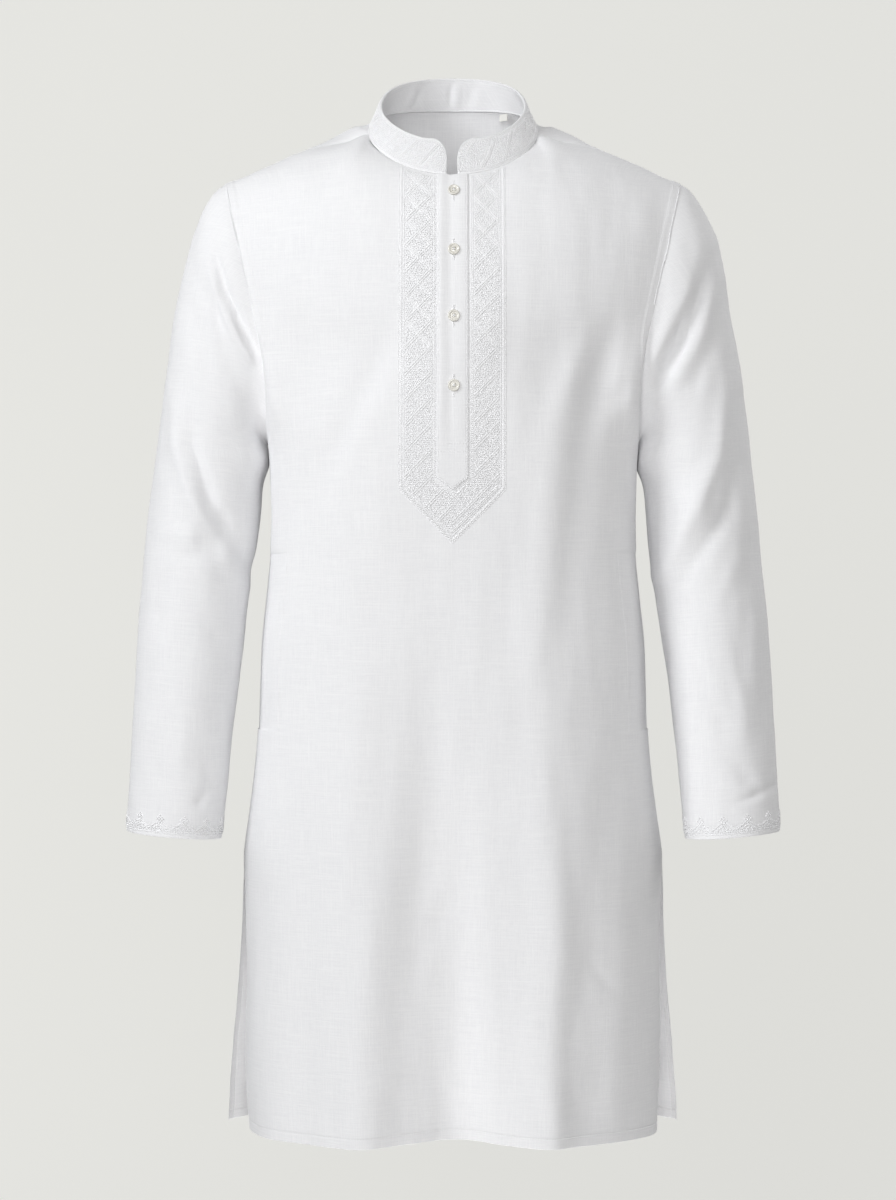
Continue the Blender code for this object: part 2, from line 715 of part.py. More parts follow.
def build_label(surface):
    """A small plain tab that hangs from the neck seam, inside the back."""
    seam = neckline(LABEL_ANGLE)
    along = (neckline(LABEL_ANGLE + 2) - neckline(LABEL_ANGLE - 2)).normalized()
    inward = Vector((-seam.x, -seam.y, 0)).normalized()
    down = Vector((0, 0, -1))
    bm = bmesh.new()
    bmesh.ops.create_cube(bm, size=1.0)
    bmesh.ops.scale(bm, vec=LABEL_SIZE, verts=bm.verts[:])
    made = add_object("neck_label", bm, surface)
    centre = seam + inward * LABEL_INWARD + down * (LABEL_SIZE[1] / 2 + LABEL_DROP)
    made.matrix_world = facing_matrix(centre, along.cross(down), -down)
    return made


def sew_body(front, back):
    """Sews the side seams down to the slits, and the shoulder seams."""
    armpit = CAP_ROWS + ARM_ROWS
    slit = level_row(SLIT_TOP_Z)
    rows = range(armpit, slit + 1)
    last_front = len(front.points[0]) - 1
    last_back = len(back.points[0]) - 1
    for edge_f, next_f, edge_b, next_b in (
        (0, 1, 0, 1), (last_front, last_front - 1, last_back, last_back - 1),
    ):
        sew(
            front, [(r, edge_f) for r in rows], [(r, next_f) for r in rows],
            back, [(r, edge_b) for r in rows], [(r, next_b) for r in rows],
        )
    count = len(SHOULDER_SHARES)
    for start_f, start_b in ((0, 0), (last_front - count, last_back - count)):
        sew(
            front, [(0, start_f + i) for i in range(count + 1)],
            [(1, start_f + i) for i in range(count + 1)],
            back, [(0, start_b + i) for i in range(count + 1)],
            [(1, start_b + i) for i in range(count + 1)],
        )


def sew_sleeve(sleeve, front, back, side):
    """Sews a sleeve into the armhole."""
    armpit = CAP_ROWS + ARM_ROWS
    for panel, offset in ((front, 0), (back, 2 * armpit)):
        edge = len(panel.points[0]) - 1 if side > 0 else 0
        near = edge - 1 if side > 0 else 1
        rows = range(armpit + 1)
        ring = [abs(offset - r) for r in rows]
        sew(
            panel, [(r, edge) for r in rows], [(r, near) for r in rows],
            sleeve, [(0, k) for k in ring], [(1, k) for k in ring],
        )
    last = len(sleeve.points[0]) - 1
    for store in (sleeve.given, sleeve.shift):
        total = store[(0, 0)] + store[(0, last)]
        share = 0.5 if store is sleeve.shift else 1.0
        store[(0, 0)] = total * share
        store[(0, last)] = total * share
    sleeve.shift[(0, armpit)] = sleeve.shift[(0, armpit)] * 0.5


def sew_collar(collar, front, back):
    """Sews the collar onto the neckline of both panels."""
    front_half = [i for i, column in enumerate(columns(True)) if column.seam is None][1:]
    back_half = [i for i, column in enumerate(columns(False)) if column.seam is None]
    middle_f = len(front.points[0]) // 2
    middle_b = len(back.points[0]) // 2
    last = len(collar.points[0]) - 1
    start = 2
    for side in (1, -1):
        panel_cols = [middle_f + side * i for i in front_half]
        collar_cols = [start + i for i in range(len(front_half))]
        if side < 0:
            collar_cols = [last - c for c in collar_cols]
        sew(
            front, [(0, c) for c in panel_cols], [(1, c + side) for c in panel_cols],
            collar, [(0, c) for c in collar_cols], [(1, c) for c in collar_cols],
        )
    neck_point = start + len(front_half) - 1
    count = 2 * (len(back_half) - 1) + 1
    collar_cols = [neck_point + i for i in range(count)]
    panel_cols = [middle_b + back_half[-1] - i for i in range(count)]
    outward = [(c > middle_b) - (c < middle_b) for c in panel_cols]
    sew(
        back, [(0, c) for c in panel_cols], [(1, c + out) for c, out in zip(panel_cols, outward)],
        collar, [(0, c) for c in collar_cols], [(1, c) for c in collar_cols],
    )
    for col, like in ((0, start), (1, start), (last, last - start), (last - 1, last - start)):
        collar.given[(0, col)] = collar.given[(0, like)]
        collar.shift[(0, col)] = collar.shift[(0, like)]
    for col in (neck_point, last - neck_point):
        collar.shift[(0, col)] = collar.shift[(0, col)] * 0.5


def cut_openings(front):
    """Leaves out the faces of the placket slot and of the two pocket mouths."""
    middle = len(front.points[0]) // 2
    last = len(front.points[0]) - 1
    for row in range(level_row(PLACKET_SLOT_Z)):
        front.missing |= {(row, middle - 1), (row, middle)}
    for row in range(level_row(POCKET_TOP_Z), level_row(POCKET_BOTTOM_Z)):
        for i in range(POCKET_COLUMNS):
            front.missing |= {(row, i), (row, last - 1 - i)}


def main():
    for old in list(bpy.data.objects):
        bpy.data.objects.remove(old, do_unlink=True)
    linen = material("linen", LINEN, 0.9)
    pearl = material("pearl_button", PEARL, 0.25)

    front = Cloth("front_panel", panel_points(True))
    back = Cloth("back_panel", panel_points(False))
    armpit = CAP_ROWS + ARM_ROWS
    sleeves = []
    for name, side, edge in (("sleeve_left", 1, -1), ("sleeve_right", -1, 0)):
        front_edge = [front.points[r][edge] for r in range(armpit + 1)]
        back_edge = [back.points[r][edge] for r in range(armpit + 1)]
        sleeves.append((Cloth(name, sleeve_points(side, front_edge, back_edge), tube=True), side))
    collar = Cloth("collar", collar_points(), thickness=COLLAR_CLOTH)

    sew_body(front, back)
    for sleeve, side in sleeves:
        sew_sleeve(sleeve, front, back, side)
    sew_collar(collar, front, back)
    cut_openings(front)
    for piece in [front, back, collar] + [sleeve for sleeve, side in sleeves]:
        piece.settle()

    left, right = OVERLAP_X
    middle = (left + right) / 2
    widths = (left, blend(left, middle, 0.5), middle, blend(middle, right, 0.5), right)
    half_drop = (POINT_SHOULDER_Z + POINT_TIP_Z) / 2
    ends = (POINT_SHOULDER_Z, half_drop, POINT_TIP_Z, half_drop, POINT_SHOULDER_Z)
    overlap = strip("placket_overlap", front, widths, ends, CLOTH + LAY_GAP)
    left, right = UNDERLAP_X
    widths = [blend(left, right, i / 4) for i in range(5)]
    underlap = strip("placket_underlap", front, widths, [PLACKET_SLOT_Z] * 5, -CLOTH - LAY_GAP)
    facings = [pocket_facing("pocket_facing_left", front, 1), pocket_facing("pocket_facing_right", front, -1)]

    for piece in [front, back, collar, overlap, underlap] + facings + [s for s, side in sleeves]:
        build_wall(piece, linen)
    for number, z in enumerate(BUTTON_Z, start=1):
        point, normal = on_front(overlap, BUTTON_X, z)
        build_button(f"button_{number}", point, normal, pearl)
    build_label(linen)


if __name__ == "__main__":
    main()
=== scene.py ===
"""Kurta tunic in white linen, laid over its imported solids.

The frame's origin lies between the two neck points. +X is the wearer's left, -Y the front and +Z up.
"""

import math
from collections import namedtuple
from functools import lru_cache
from itertools import product

import bmesh
import bpy
import numpy as np
from bpy.props import FloatProperty, FloatVectorProperty, PointerProperty
from mathutils import Matrix, Vector, noise


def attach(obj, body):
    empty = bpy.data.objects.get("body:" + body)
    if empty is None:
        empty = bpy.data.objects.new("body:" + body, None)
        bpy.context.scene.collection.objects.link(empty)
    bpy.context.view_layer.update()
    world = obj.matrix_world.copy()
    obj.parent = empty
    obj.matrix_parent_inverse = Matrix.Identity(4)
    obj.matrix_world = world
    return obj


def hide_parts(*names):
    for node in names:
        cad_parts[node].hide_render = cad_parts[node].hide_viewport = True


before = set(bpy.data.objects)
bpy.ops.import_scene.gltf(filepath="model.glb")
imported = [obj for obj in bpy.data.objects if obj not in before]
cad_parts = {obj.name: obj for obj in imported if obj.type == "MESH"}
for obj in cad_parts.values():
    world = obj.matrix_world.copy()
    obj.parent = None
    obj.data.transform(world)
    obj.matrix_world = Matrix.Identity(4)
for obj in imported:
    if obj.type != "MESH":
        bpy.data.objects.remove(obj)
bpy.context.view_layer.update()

bl_info = {
    "name": "Kurta Tunic",
    "version": (1, 0, 0),
    "blender": (4, 5, 0),
    "location": "View3D > Sidebar > Kurta",
    "description": "Dresses the solids of a kurta in linen, thread and pearl buttons",
    "category": "Object",
}


def table(columns, *rows):
    """A table of rows whose columns have names."""
    kind = namedtuple("Row", columns)
    return tuple(kind(*row) for row in rows)


# ------------------------------------------------------------------ sizes shared with the solids

CLOTH = 0.0012           # the linen's wall
COLLAR_CLOTH = 0.0026    # the collar's wall, which is two plies
LAY_GAP = 0.0003         # between two cloths that lie on each other

NECK_WIDTH = 0.084
NECK_DEPTH = 0.075
NECK_BACKWARD = -0.010
NECK_DROP = (-0.006, -0.04375, -0.01575)
RIM_WIDTH = 0.072
RIM_DEPTH = 0.0625
RIM_BACKWARD = -0.0095
RIM_DROP = (0.021, -0.0425, -0.0095)
SHOULDER_SEAM_ANGLE = 81.0
SHOULDER_TIP = Vector((0.2265, -0.003, -0.063))
COLLAR_ENDS = (2.66, 3.96)
COLLAR_HEIGHT = 0.035
COLLAR_CORNER = (0.0115, 0.019)

ARMPIT_Z = -0.325
ARM_DEPTH_FRONT = 0.067
ARM_DEPTH_BACK = 0.064
ARM_MIDDLE_Z = (SHOULDER_TIP.z + ARMPIT_Z) / 2
ARM_HALF_HEIGHT = (SHOULDER_TIP.z - ARMPIT_Z) / 2
PLACKET_SLOT_Z = -0.358
POCKET_TOP_Z = -0.432
POCKET_BOTTOM_Z = -0.606
SLIT_TOP_Z = -0.732
HEM_Z = -1.002
HEM_LIFT = 0.003
ROUND = 2.4              # the power of the body's rounded sections

# The body's level sections: half its width, and how far its front and back stand out
BODY = table(
    "z width front back",
    (-0.060, 0.226, 0.100, 0.100), (-0.194, 0.193, 0.121, 0.115), (-0.260, 0.188, 0.125, 0.112),
    (-0.325, 0.184, 0.124, 0.105), (-0.408, 0.1815, 0.118, 0.094), (-0.468, 0.1865, 0.115, 0.092),
    (-0.523, 0.192, 0.115, 0.098), (-0.608, 0.1945, 0.117, 0.110), (-0.668, 0.200, 0.119, 0.117),
    (-0.732, 0.2085, 0.121, 0.119), (-0.828, 0.215, 0.123, 0.118), (-0.918, 0.222, 0.124, 0.117),
    (-1.002, 0.227, 0.125, 0.117),
)
ARM_EDGE = table(
    "z width",
    (-0.063, 0.2265), (-0.100, 0.2195), (-0.1465, 0.209), (-0.186, 0.1975), (-0.2374, 0.1865),
    (-0.280, 0.183), (-0.325, 0.184),
)
SLIT = table(
    "z width forward backward",
    (-0.732, 0.2085, 0.000, 0.000), (-0.797, 0.2065, 0.003, 0.003), (-0.860, 0.2050, 0.006, 0.005),
    (-0.905, 0.2055, 0.009, 0.008), (-0.957, 0.2040, 0.012, 0.010), (-1.002, 0.2015, 0.015, 0.012),
)

# How a panel leaves its upper edge at the middle, the neck point and the tip, in degrees
FRONT_SLOPE = (52.0, 16.0, 2.0)
BACK_SLOPE = (64.0, -38.0, -8.0)
FRONT_FAN = (0.0, 26.0, 0.0)
BACK_FAN = (0.0, 34.0, 0.0)
FRONT_FALL = (0.52, 0.52, 0.52)
BACK_FALL = (0.42, 0.66, 0.60)

# A sleeve's level sections: their middle, and half their width and depth
SLEEVE = table(
    "z x y width depth",
    (-0.385, 0.2478, 0.004, 0.0550, 0.061), (-0.430, 0.2523, 0.001, 0.0546, 0.059),
    (-0.508, 0.2605, -0.006, 0.0530, 0.055), (-0.597, 0.2679, -0.017, 0.0500, 0.050),
    (-0.642, 0.2705, -0.022, 0.0487, 0.047), (-0.688, 0.2741, -0.027, 0.0477, 0.044),
    (-0.7095, 0.2757, -0.030, 0.0468, 0.043),
)
SLEEVE_TILT = 0.085      # how a sleeve's level sections rise towards its outer side
# How a sleeve leaves the armhole at a turn round it: which way, how far, and how far to its first ring
CAP = table(
    "turn x y z start end",
    (0, 0.92, 0.00, -0.39, 0.045, 0.130), (45, 0.90, -0.12, -0.42, 0.042, 0.110),
    (90, 0.84, -0.12, -0.52, 0.036, 0.090), (135, 0.92, 0.02, 0.10, 0.018, 0.060),
    (180, 0.40, 0.00, 0.92, 0.013, 0.045),
)

# Folds in a front view: a ridge has a depth above nought, a trough below
FOLD = "x0 z0 x1 z1 width depth0 depth1"
FRONT_FOLDS = table(
    FOLD,
    (-0.103, -0.330, -0.091, -1.002, 0.034, 0.001, 0.012),
    (0.112, -0.330, 0.097, -1.002, 0.034, 0.001, 0.012),
    (-0.020, -0.520, 0.002, -1.002, 0.046, -0.001, -0.032),
    (-0.069, -0.239, -0.117, -0.373, 0.022, -0.002, -0.003),
)
BACK_FOLDS = table(
    FOLD,
    (-0.085, -0.300, -0.075, -1.002, 0.034, 0.001, 0.010),
    (0.095, -0.300, 0.082, -1.002, 0.034, 0.001, 0.009),
    (0.010, -0.420, 0.004, -1.002, 0.046, -0.003, -0.022),
)
RIGHT_SLEEVE_FOLDS = table(
    FOLD,
    (-0.231, -0.148, -0.217, -0.192, 0.011, -0.003, -0.006),
    (-0.217, -0.192, -0.190, -0.237, 0.011, -0.006, -0.004),
    (-0.255, -0.172, -0.226, -0.256, 0.013, -0.002, -0.004),
    (-0.260, -0.323, -0.233, -0.413, 0.016, -0.001, -0.005),
    (-0.233, -0.413, -0.208, -0.452, 0.015, -0.005, -0.004),
)
LEFT_SLEEVE_FOLDS = table(
    FOLD,
    (0.234, -0.137, 0.203, -0.236, 0.011, 0.002, 0.004),
    (0.239, -0.148, 0.214, -0.218, 0.010, -0.003, -0.006),
    (0.214, -0.218, 0.196, -0.265, 0.010, -0.006, -0.004),
    (0.260, -0.271, 0.234, -0.390, 0.016, 0.001, 0.004),
    (0.234, -0.390, 0.200, -0.454, 0.015, 0.004, 0.003),
)
SLEEVE_BACK_FOLDS = table(
    FOLD,
    (-0.240, -0.165, -0.212, -0.240, 0.013, -0.002, -0.005),
    (-0.270, -0.330, -0.228, -0.440, 0.016, -0.002, -0.005),
    (0.238, -0.160, 0.214, -0.245, 0.013, -0.002, -0.005),
    (0.272, -0.335, 0.232, -0.432, 0.016, -0.002, -0.005),
)

SLOT_ANGLE = 8.5         # where round the neck the placket's slot ends
NECK_STEPS = 5
BACK_NECK_STEPS = 7
NECK_SHARE = 0.48        # the share of a half panel's columns that starts at the neck
SHOULDER_SHARES = (0.18, 0.36, 0.53, 0.67, 0.79, 0.91, 0.98, 1.0)
POCKET_COLUMNS = 3
CAP_ROWS = 6
ARM_ROWS = 5
ARMPIT_ROW = CAP_ROWS + ARM_ROWS
FALLS = ((PLACKET_SLOT_Z, 1), (POCKET_TOP_Z, 2), (POCKET_BOTTOM_Z, 4), (SLIT_TOP_Z, 3), (HEM_Z, 7))
SLEEVE_CAP_ROWS = 8
SLEEVE_ROWS = 11
COLLAR_ROWS = 4
COLLAR_SECOND = (5.0, 6.0)               # the columns next to the collar's ends
SEAM_EASE = 1.4          # how soon a shoulder seam takes the directions of its tip
NECK_EASE = 1.5          # how late the neckline takes the directions of the neck point
BACK_NECK_EASE = 1.3     # how the columns draw together at the back's neck points
SHOULDER_SHARE = 0.50    # how far a panel runs level from its upper edge: of its depth, and more
SHOULDER_ROOM = 0.012
LEVEL_STEP = 0.01        # the drop over which the way down at a level is measured
CAP_LEAN = (0.095, 0.07)                 # how a sleeve's cap leans where it meets its first ring
CAP_EASE = 1.35          # how the rows of a sleeve's cap draw together at the armhole
FOLDS_TOP_Z = -0.15      # where the folds of a panel start
FOLDS_GROW = 0.1         # the height over which they grow
HEM_LIFT_SHARE = 0.3     # how much of the width the lift of the hem takes

OVERLAP_X = (-0.0153, 0.0141)
UNDERLAP_X = (-0.0190, 0.0115)
POINT_SHOULDER_Z = -0.3614
POINT_TIP_Z = -0.3725
BUTTON_X = 0.0006
BUTTON_Z = (-0.0832, -0.1421, -0.2066, -0.2732)


# ------------------------------------------------------------------ the coarse form

def curve(ends, slopes, span, t):
    """A smooth curve between two values, with its slopes there, at a share of the span between them."""
    straight = ends[0] * (2 * t**3 - 3 * t**2 + 1) + ends[1] * (3 * t**2 - 2 * t**3)
    return straight + span * (slopes[0] * (t**3 - 2 * t**2 + t) + slopes[1] * (t**3 - t**2))


def read(rows, key, column):
    """A smooth value of one column of a table whose first column falls or rises row by row."""
    keys = [row[0] for row in rows]
    values = [getattr(row, column) for row in rows]
    if keys[0] > keys[-1]:
        keys = [-k for k in keys]
        key = -key
    key = min(max(key, keys[0]), keys[-1])
    i = max(j for j in range(len(keys) - 1) if keys[j] <= key or j == 0)
    slopes = []
    for j in (i, i + 1):
        before = max(j - 1, 0)
        after = min(j + 1, len(keys) - 1)
        slopes.append((values[after] - values[before]) / (keys[after] - keys[before]))
    span = keys[i + 1] - keys[i]
    return curve(values[i:i + 2], slopes, span, (key - keys[i]) / span)


def blend(a, b, t):
    """A straight mix of two numbers or points."""
    return a + (b - a) * t


def smooth_step(t):
    """A soft ramp from 0 to 1."""
    t = np.clip(t, 0.0, 1.0)
    return t * t * (3 - 2 * t)


def bezier(p0, p1, p2, p3, t):
    """A point on a cubic curve."""
    u = 1 - t
    return p0 * u**3 + p1 * (3 * u * u * t) + p2 * (3 * u * t * t) + p3 * t**3


def sideways(angle):
    """The share of the neck's half width at an angle; it is widest at the shoulder seams."""
    around = angle if angle <= 180 else 360 - angle
    if around <= SHOULDER_SEAM_ANGLE:
        quarter = 90 * around / SHOULDER_SEAM_ANGLE
    else:
        quarter = 90 + 90 * (around - SHOULDER_SEAM_ANGLE) / (180 - SHOULDER_SEAM_ANGLE)
    share = math.sin(math.radians(quarter))
    return share if angle <= 180 else -share


def round_the_neck(angle, width, depth, backward, drop):
    """A place round the neck; 0 is the middle front, 180 the middle back."""
    c = math.cos(math.radians(angle))
    return Vector((width * sideways(angle), backward - depth * c, drop[0] + drop[1] * c + drop[2] * c * c))


def neckline(angle):
    """The seam where the collar meets the body."""
    return round_the_neck(angle, NECK_WIDTH, NECK_DEPTH, NECK_BACKWARD, NECK_DROP)


def collar_rim(angle):
    """The collar's upper edge, before its corners are rounded."""
    return round_the_neck(angle, RIM_WIDTH, RIM_DEPTH, RIM_BACKWARD, RIM_DROP)


def round_share(s, power):
    """How far a level section stands out at the share s of its half width."""
    return (max(0.0, 1 - abs(s) ** power)) ** (1 / power)


def fold_offset(folds, x, z):
    """How far the folds push the cloth out at a place in the front view."""
    total = 0.0
    for fold in folds:
        across = Vector((fold.x1 - fold.x0, fold.z1 - fold.z0))
        place = Vector((x - fold.x0, z - fold.z0))
        t = min(max(place.dot(across) / across.length_squared, 0.0), 1.0)
        distance = (place - across * t).length
        total += blend(fold.depth0, fold.depth1, t) * math.exp(-((distance / fold.width) ** 2))
    return total


def armhole(turn, front):
    """A place on the left armhole seam; turn runs from 0 at the tip to 180 under the arm."""
    a = math.radians(turn)
    z = ARM_MIDDLE_Z + ARM_HALF_HEIGHT * math.cos(a)
    depth = -ARM_DEPTH_FRONT if front else ARM_DEPTH_BACK
    y = SHOULDER_TIP.y * (1 - turn / 180) + depth * math.sin(a)
    return Vector((read(ARM_EDGE, z, "width"), y, z))


def section(s, z, front):
    """The body at a level at or under the middle of the armhole; s is a share of the half width."""
    sign = -1 if front else 1
    depth = sign * read(BODY, z, "front" if front else "back")
    if z > ARMPIT_Z:
        edge = armhole(math.degrees(math.acos((z - ARM_MIDDLE_Z) / ARM_HALF_HEIGHT)), front)
        under = smooth_step((ARM_MIDDLE_Z - z) / ARM_HALF_HEIGHT)
        share = blend(1 - abs(s) ** ROUND, round_share(s, ROUND), under)
        return Vector((edge.x * s, depth * share + edge.y * abs(s) ** (ROUND + 6 * under), z))
    width = read(BODY, z, "width")
    edge_y = 0.0
    if z < SLIT_TOP_Z:
        edge_y = sign * read(SLIT, z, "forward" if front else "backward")
        if front:
            width = read(SLIT, z, "width")
    return Vector((width * s, blend(edge_y, depth, round_share(s, ROUND)), z))


Column = namedtuple("Column", "side share angle seam")


def at_top(values, column, front):
    """A value along a panel's upper edge, from its values at the middle, neck point and tip."""
    middle, neck, tip = values
    if column.seam is not None:
        return blend(neck, tip, smooth_step(column.seam * SEAM_EASE))
    angle = column.angle
    share = angle / SHOULDER_SEAM_ANGLE if front else (180 - angle) / (180 - SHOULDER_SEAM_ANGLE)
    return blend(middle, neck, share**NECK_EASE)


def shoulder(column, t, front):
    """The body above the middle of the armhole: t runs from the upper edge down to that level."""
    sign = -1 if front else 1
    if column.seam is None:
        top = neckline(column.angle)
    else:
        top = neckline(SHOULDER_SEAM_ANGLE).lerp(SHOULDER_TIP, column.seam)
    top.x *= column.side
    foot = section(column.share, ARM_MIDDLE_Z, front)
    below = section(column.share, ARM_MIDDLE_Z - LEVEL_STEP, front)
    slope = math.radians(at_top(FRONT_SLOPE if front else BACK_SLOPE, column, front))
    fan = math.radians(at_top(FRONT_FAN if front else BACK_FAN, column, front))
    away = Vector((column.side * math.sin(fan), sign * math.cos(fan), 0)) * math.cos(slope)
    away.z = -math.sin(slope)
    reach = abs(foot.y - top.y) * SHOULDER_SHARE + SHOULDER_ROOM
    fall = (top.z - foot.z) * at_top(FRONT_FALL if front else BACK_FALL, column, front)
    return bezier(top, top + away * reach, foot + (foot - below) / LEVEL_STEP * fall, foot, t)


def columns(front):
    """The columns of one half panel, from the middle out."""
    if front:
        reach = SHOULDER_SEAM_ANGLE - SLOT_ANGLE
        angles = [0.0, SLOT_ANGLE]
        angles += [SLOT_ANGLE + reach * (i + 1) / NECK_STEPS for i in range(NECK_STEPS)]
    else:
        reach = 180 - SHOULDER_SEAM_ANGLE
        steps = [1 - (1 - i / BACK_NECK_STEPS) ** BACK_NECK_EASE for i in range(BACK_NECK_STEPS + 1)]
        angles = [180 - reach * step for step in steps]
    quarter = angles[-1] - angles[0]
    half = [Column(1, NECK_SHARE * (a - angles[0]) / quarter, a, None) for a in angles]
    return half + [Column(1, blend(NECK_SHARE, 1.0, seam), None, seam) for seam in SHOULDER_SHARES]


@lru_cache(None)
def levels():
    """The rows of a panel: (kind, value)."""
    rows = [("shoulder", i / CAP_ROWS) for i in range(CAP_ROWS)]
    for i in range(ARM_ROWS + 1):
        turn = math.radians(90 + 90 * i / ARM_ROWS)
        rows.append(("level", ARM_MIDDLE_Z + ARM_HALF_HEIGHT * math.cos(turn)))
    start = ARMPIT_Z
    for end, count in FALLS:
        rows += [("level", blend(start, end, (i + 1) / count)) for i in range(count)]
        start = end
    return rows


def level_row(z):
    """The number of the row nearest to a level below the armpit."""
    heights = [value if kind == "level" else 0.0 for kind, value in levels()]
    return min(range(len(heights)), key=lambda i: abs(heights[i] - z))


def panel_grid(front):
    """The outer points of the front or the back, rows from the wearer's right to left."""
    half = columns(front)
    across = [c._replace(side=-1, share=-c.share) for c in reversed(half[1:])] + half
    folds = FRONT_FOLDS if front else BACK_FOLDS
    sign = -1 if front else 1
    rows = []
    for kind, value in levels():
        row = []
        for column in across:
            s = column.share
            point = shoulder(column, value, front) if kind == "shoulder" else section(s, value, front)
            calm = (1 - abs(s) ** 6) * min(1.0, max(0.0, (FOLDS_TOP_Z - point.z) / FOLDS_GROW))
            point.y += sign * calm * fold_offset(folds, point.x, point.z)
            if front and point.z < SLIT_TOP_Z:
                down = (SLIT_TOP_Z - point.z) / (SLIT_TOP_Z - HEM_Z)
                point.z += HEM_LIFT * down * math.exp(-((s / HEM_LIFT_SHARE) ** 2))
            row.append(point)
        rows.append(row)
    return rows


def sleeve_ring(z, turn, side):
    """A point on a level section of a sleeve; turn 0 is outward, 90 the front, 180 the body side."""
    a = math.radians(turn)
    out = read(SLEEVE, z, "width") * math.cos(a)
    y = read(SLEEVE, z, "y") - read(SLEEVE, z, "depth") * math.sin(a)
    return Vector((side * (read(SLEEVE, z, "x") + out), y, z + SLEEVE_TILT * out))


def sleeve_grid(side):
    """The outer points of a sleeve, from the armhole down, round from the shoulder tip."""
    edge = -1 if side > 0 else 0
    seam = [row[edge] for row in panel_grid(True)[:ARMPIT_ROW + 1]]
    seam += [row[edge] for row in panel_grid(False)[ARMPIT_ROW - 1::-1]]
    fronts = LEFT_SLEEVE_FOLDS if side > 0 else RIGHT_SLEEVE_FOLDS
    ring_z = SLEEVE[0].z
    rows = []
    for j in range(SLEEVE_CAP_ROWS + SLEEVE_ROWS + 1):
        row = []
        for k, start in enumerate(seam):
            turn = 360 * k / (len(seam) - 1)
            around = turn if turn <= 180 else 360 - turn
            if j >= SLEEVE_CAP_ROWS:
                z = blend(ring_z, SLEEVE[-1].z, (j - SLEEVE_CAP_ROWS) / SLEEVE_ROWS)
                point = sleeve_ring(z, turn, side)
            else:
                ring = sleeve_ring(ring_z, turn, side)
                away = Vector([read(CAP, around, axis) for axis in "xyz"]).normalized()
                away.x *= side
                away.y *= 1 if turn <= 180 else -1
                up = Vector((-side * CAP_LEAN[0], CAP_LEAN[1], 1)).normalized()
                reach = read(CAP, around, "start")
                lift = read(CAP, around, "end")
                t = (j / SLEEVE_CAP_ROWS) ** CAP_EASE
                point = bezier(start, start + away * reach, ring + up * lift, ring, t)
            middle = Vector((side * read(SLEEVE, point.z, "x"), read(SLEEVE, point.z, "y"), point.z))
            out = (point - middle).normalized()
            calm = min(1.0, j / 3) * abs(math.sin(math.radians(turn)))
            folds = fronts if turn <= 180 else SLEEVE_BACK_FOLDS
            row.append(point + out * calm * fold_offset(folds, point.x, point.z))
        rows.append(row)
    return rows


def collar_angles():
    """The collar's columns, round from its wearer's-left end by the back to its other end."""
    front = [column.angle for column in columns(True) if column.seam is None][1:]
    back = [column.angle for column in columns(False) if column.seam is None]
    half = front + back[-2::-1]
    left, right = ([end, second] + half for end, second in zip(COLLAR_ENDS, COLLAR_SECOND))
    return left + [360 - angle for angle in right[-2::-1]]


def collar_share(angle):
    """How much of the collar's height stands at an angle, where its front corners are rounded."""
    end = COLLAR_ENDS[0] if angle <= 180 else COLLAR_ENDS[1]
    distance = math.radians(max(min(angle, 360 - angle) - end, 0.0)) * NECK_WIDTH
    width, height = COLLAR_CORNER
    cut = 1 - min(distance / width, 1.0)
    return 1 - height / COLLAR_HEIGHT * (1 - math.sqrt(1 - cut * cut))


def collar_grid():
    """The outer points of the collar, from its base up to its rim."""
    return [
        [neckline(a).lerp(collar_rim(a), collar_share(a) * i / COLLAR_ROWS) for a in collar_angles()]
        for i in range(COLLAR_ROWS + 1)
    ]


# ------------------------------------------------------------------ the fine form

# A crease is a chain of marks in a front view; between two marks its width and depth change evenly
Mark = namedtuple("Mark", "x z width depth")
TENTHS = 10000           # tenths of a millimetre in a metre


def marked(*creases):
    """Creases from rows of marks in tenths of a millimetre: place across, place up, width and depth."""
    return [[Mark(*(value / TENTHS for value in mark)) for mark in marks] for marks in creases]


def swell(distance, width):
    """A soft rise: 1 where the distance is nought, dying away past the width."""
    return np.exp(-((distance / width) ** 2))


def creased(marks, x, z):
    """The height of a crease, a ridge above nought and a trough below, at many places."""
    total = np.zeros_like(x)
    nearest = np.full_like(x, 1e9)
    for a, b in zip(marks, marks[1:]):
        dx, dz = b.x - a.x, b.z - a.z
        t = np.clip(((x - a.x) * dx + (z - a.z) * dz) / (dx * dx + dz * dz), 0.0, 1.0)
        away = np.hypot(x - a.x - t * dx, z - a.z - t * dz)
        height = blend(a.depth, b.depth, t) * swell(away, blend(a.width, b.width, t))
        total = np.where(away < nearest, height, total)
        nearest = np.minimum(nearest, away)
    return total


def spread(values, at, wanted, wrap):
    """A smooth curve through values given at uneven places, read at the wanted places."""
    if wrap:
        turn = at[-1] - at[0]
        at = np.concatenate((at[-3:-1] - turn, at, at[1:3] + turn))
        values = np.concatenate((values[-3:-1], values, values[1:3]))
    h = np.diff(at)
    h = h.reshape(-1, *[1] * (values.ndim - 1))
    d = np.diff(values, axis=0) / h
    inner = (d[:-1] * h[1:] + d[1:] * h[:-1]) / (h[:-1] + h[1:])
    slope = np.concatenate(([2 * d[0] - inner[0]], inner, [2 * d[-1] - inner[-1]]))
    i = np.clip(np.searchsorted(at, wanted, side="right") - 1, 0, len(at) - 2)
    h = h[i]
    t = (wanted - at[i]).reshape(h.shape) / h
    return curve((values[i], values[i + 1]), (slope[i], slope[i + 1]), h, t)


def lengths(points, axis):
    """How far each point lies along its line from the grid's first edge."""
    steps = np.linalg.norm(np.diff(points, axis=axis), axis=2)
    return np.insert(np.cumsum(steps, axis=axis), 0, 0.0, axis=axis)


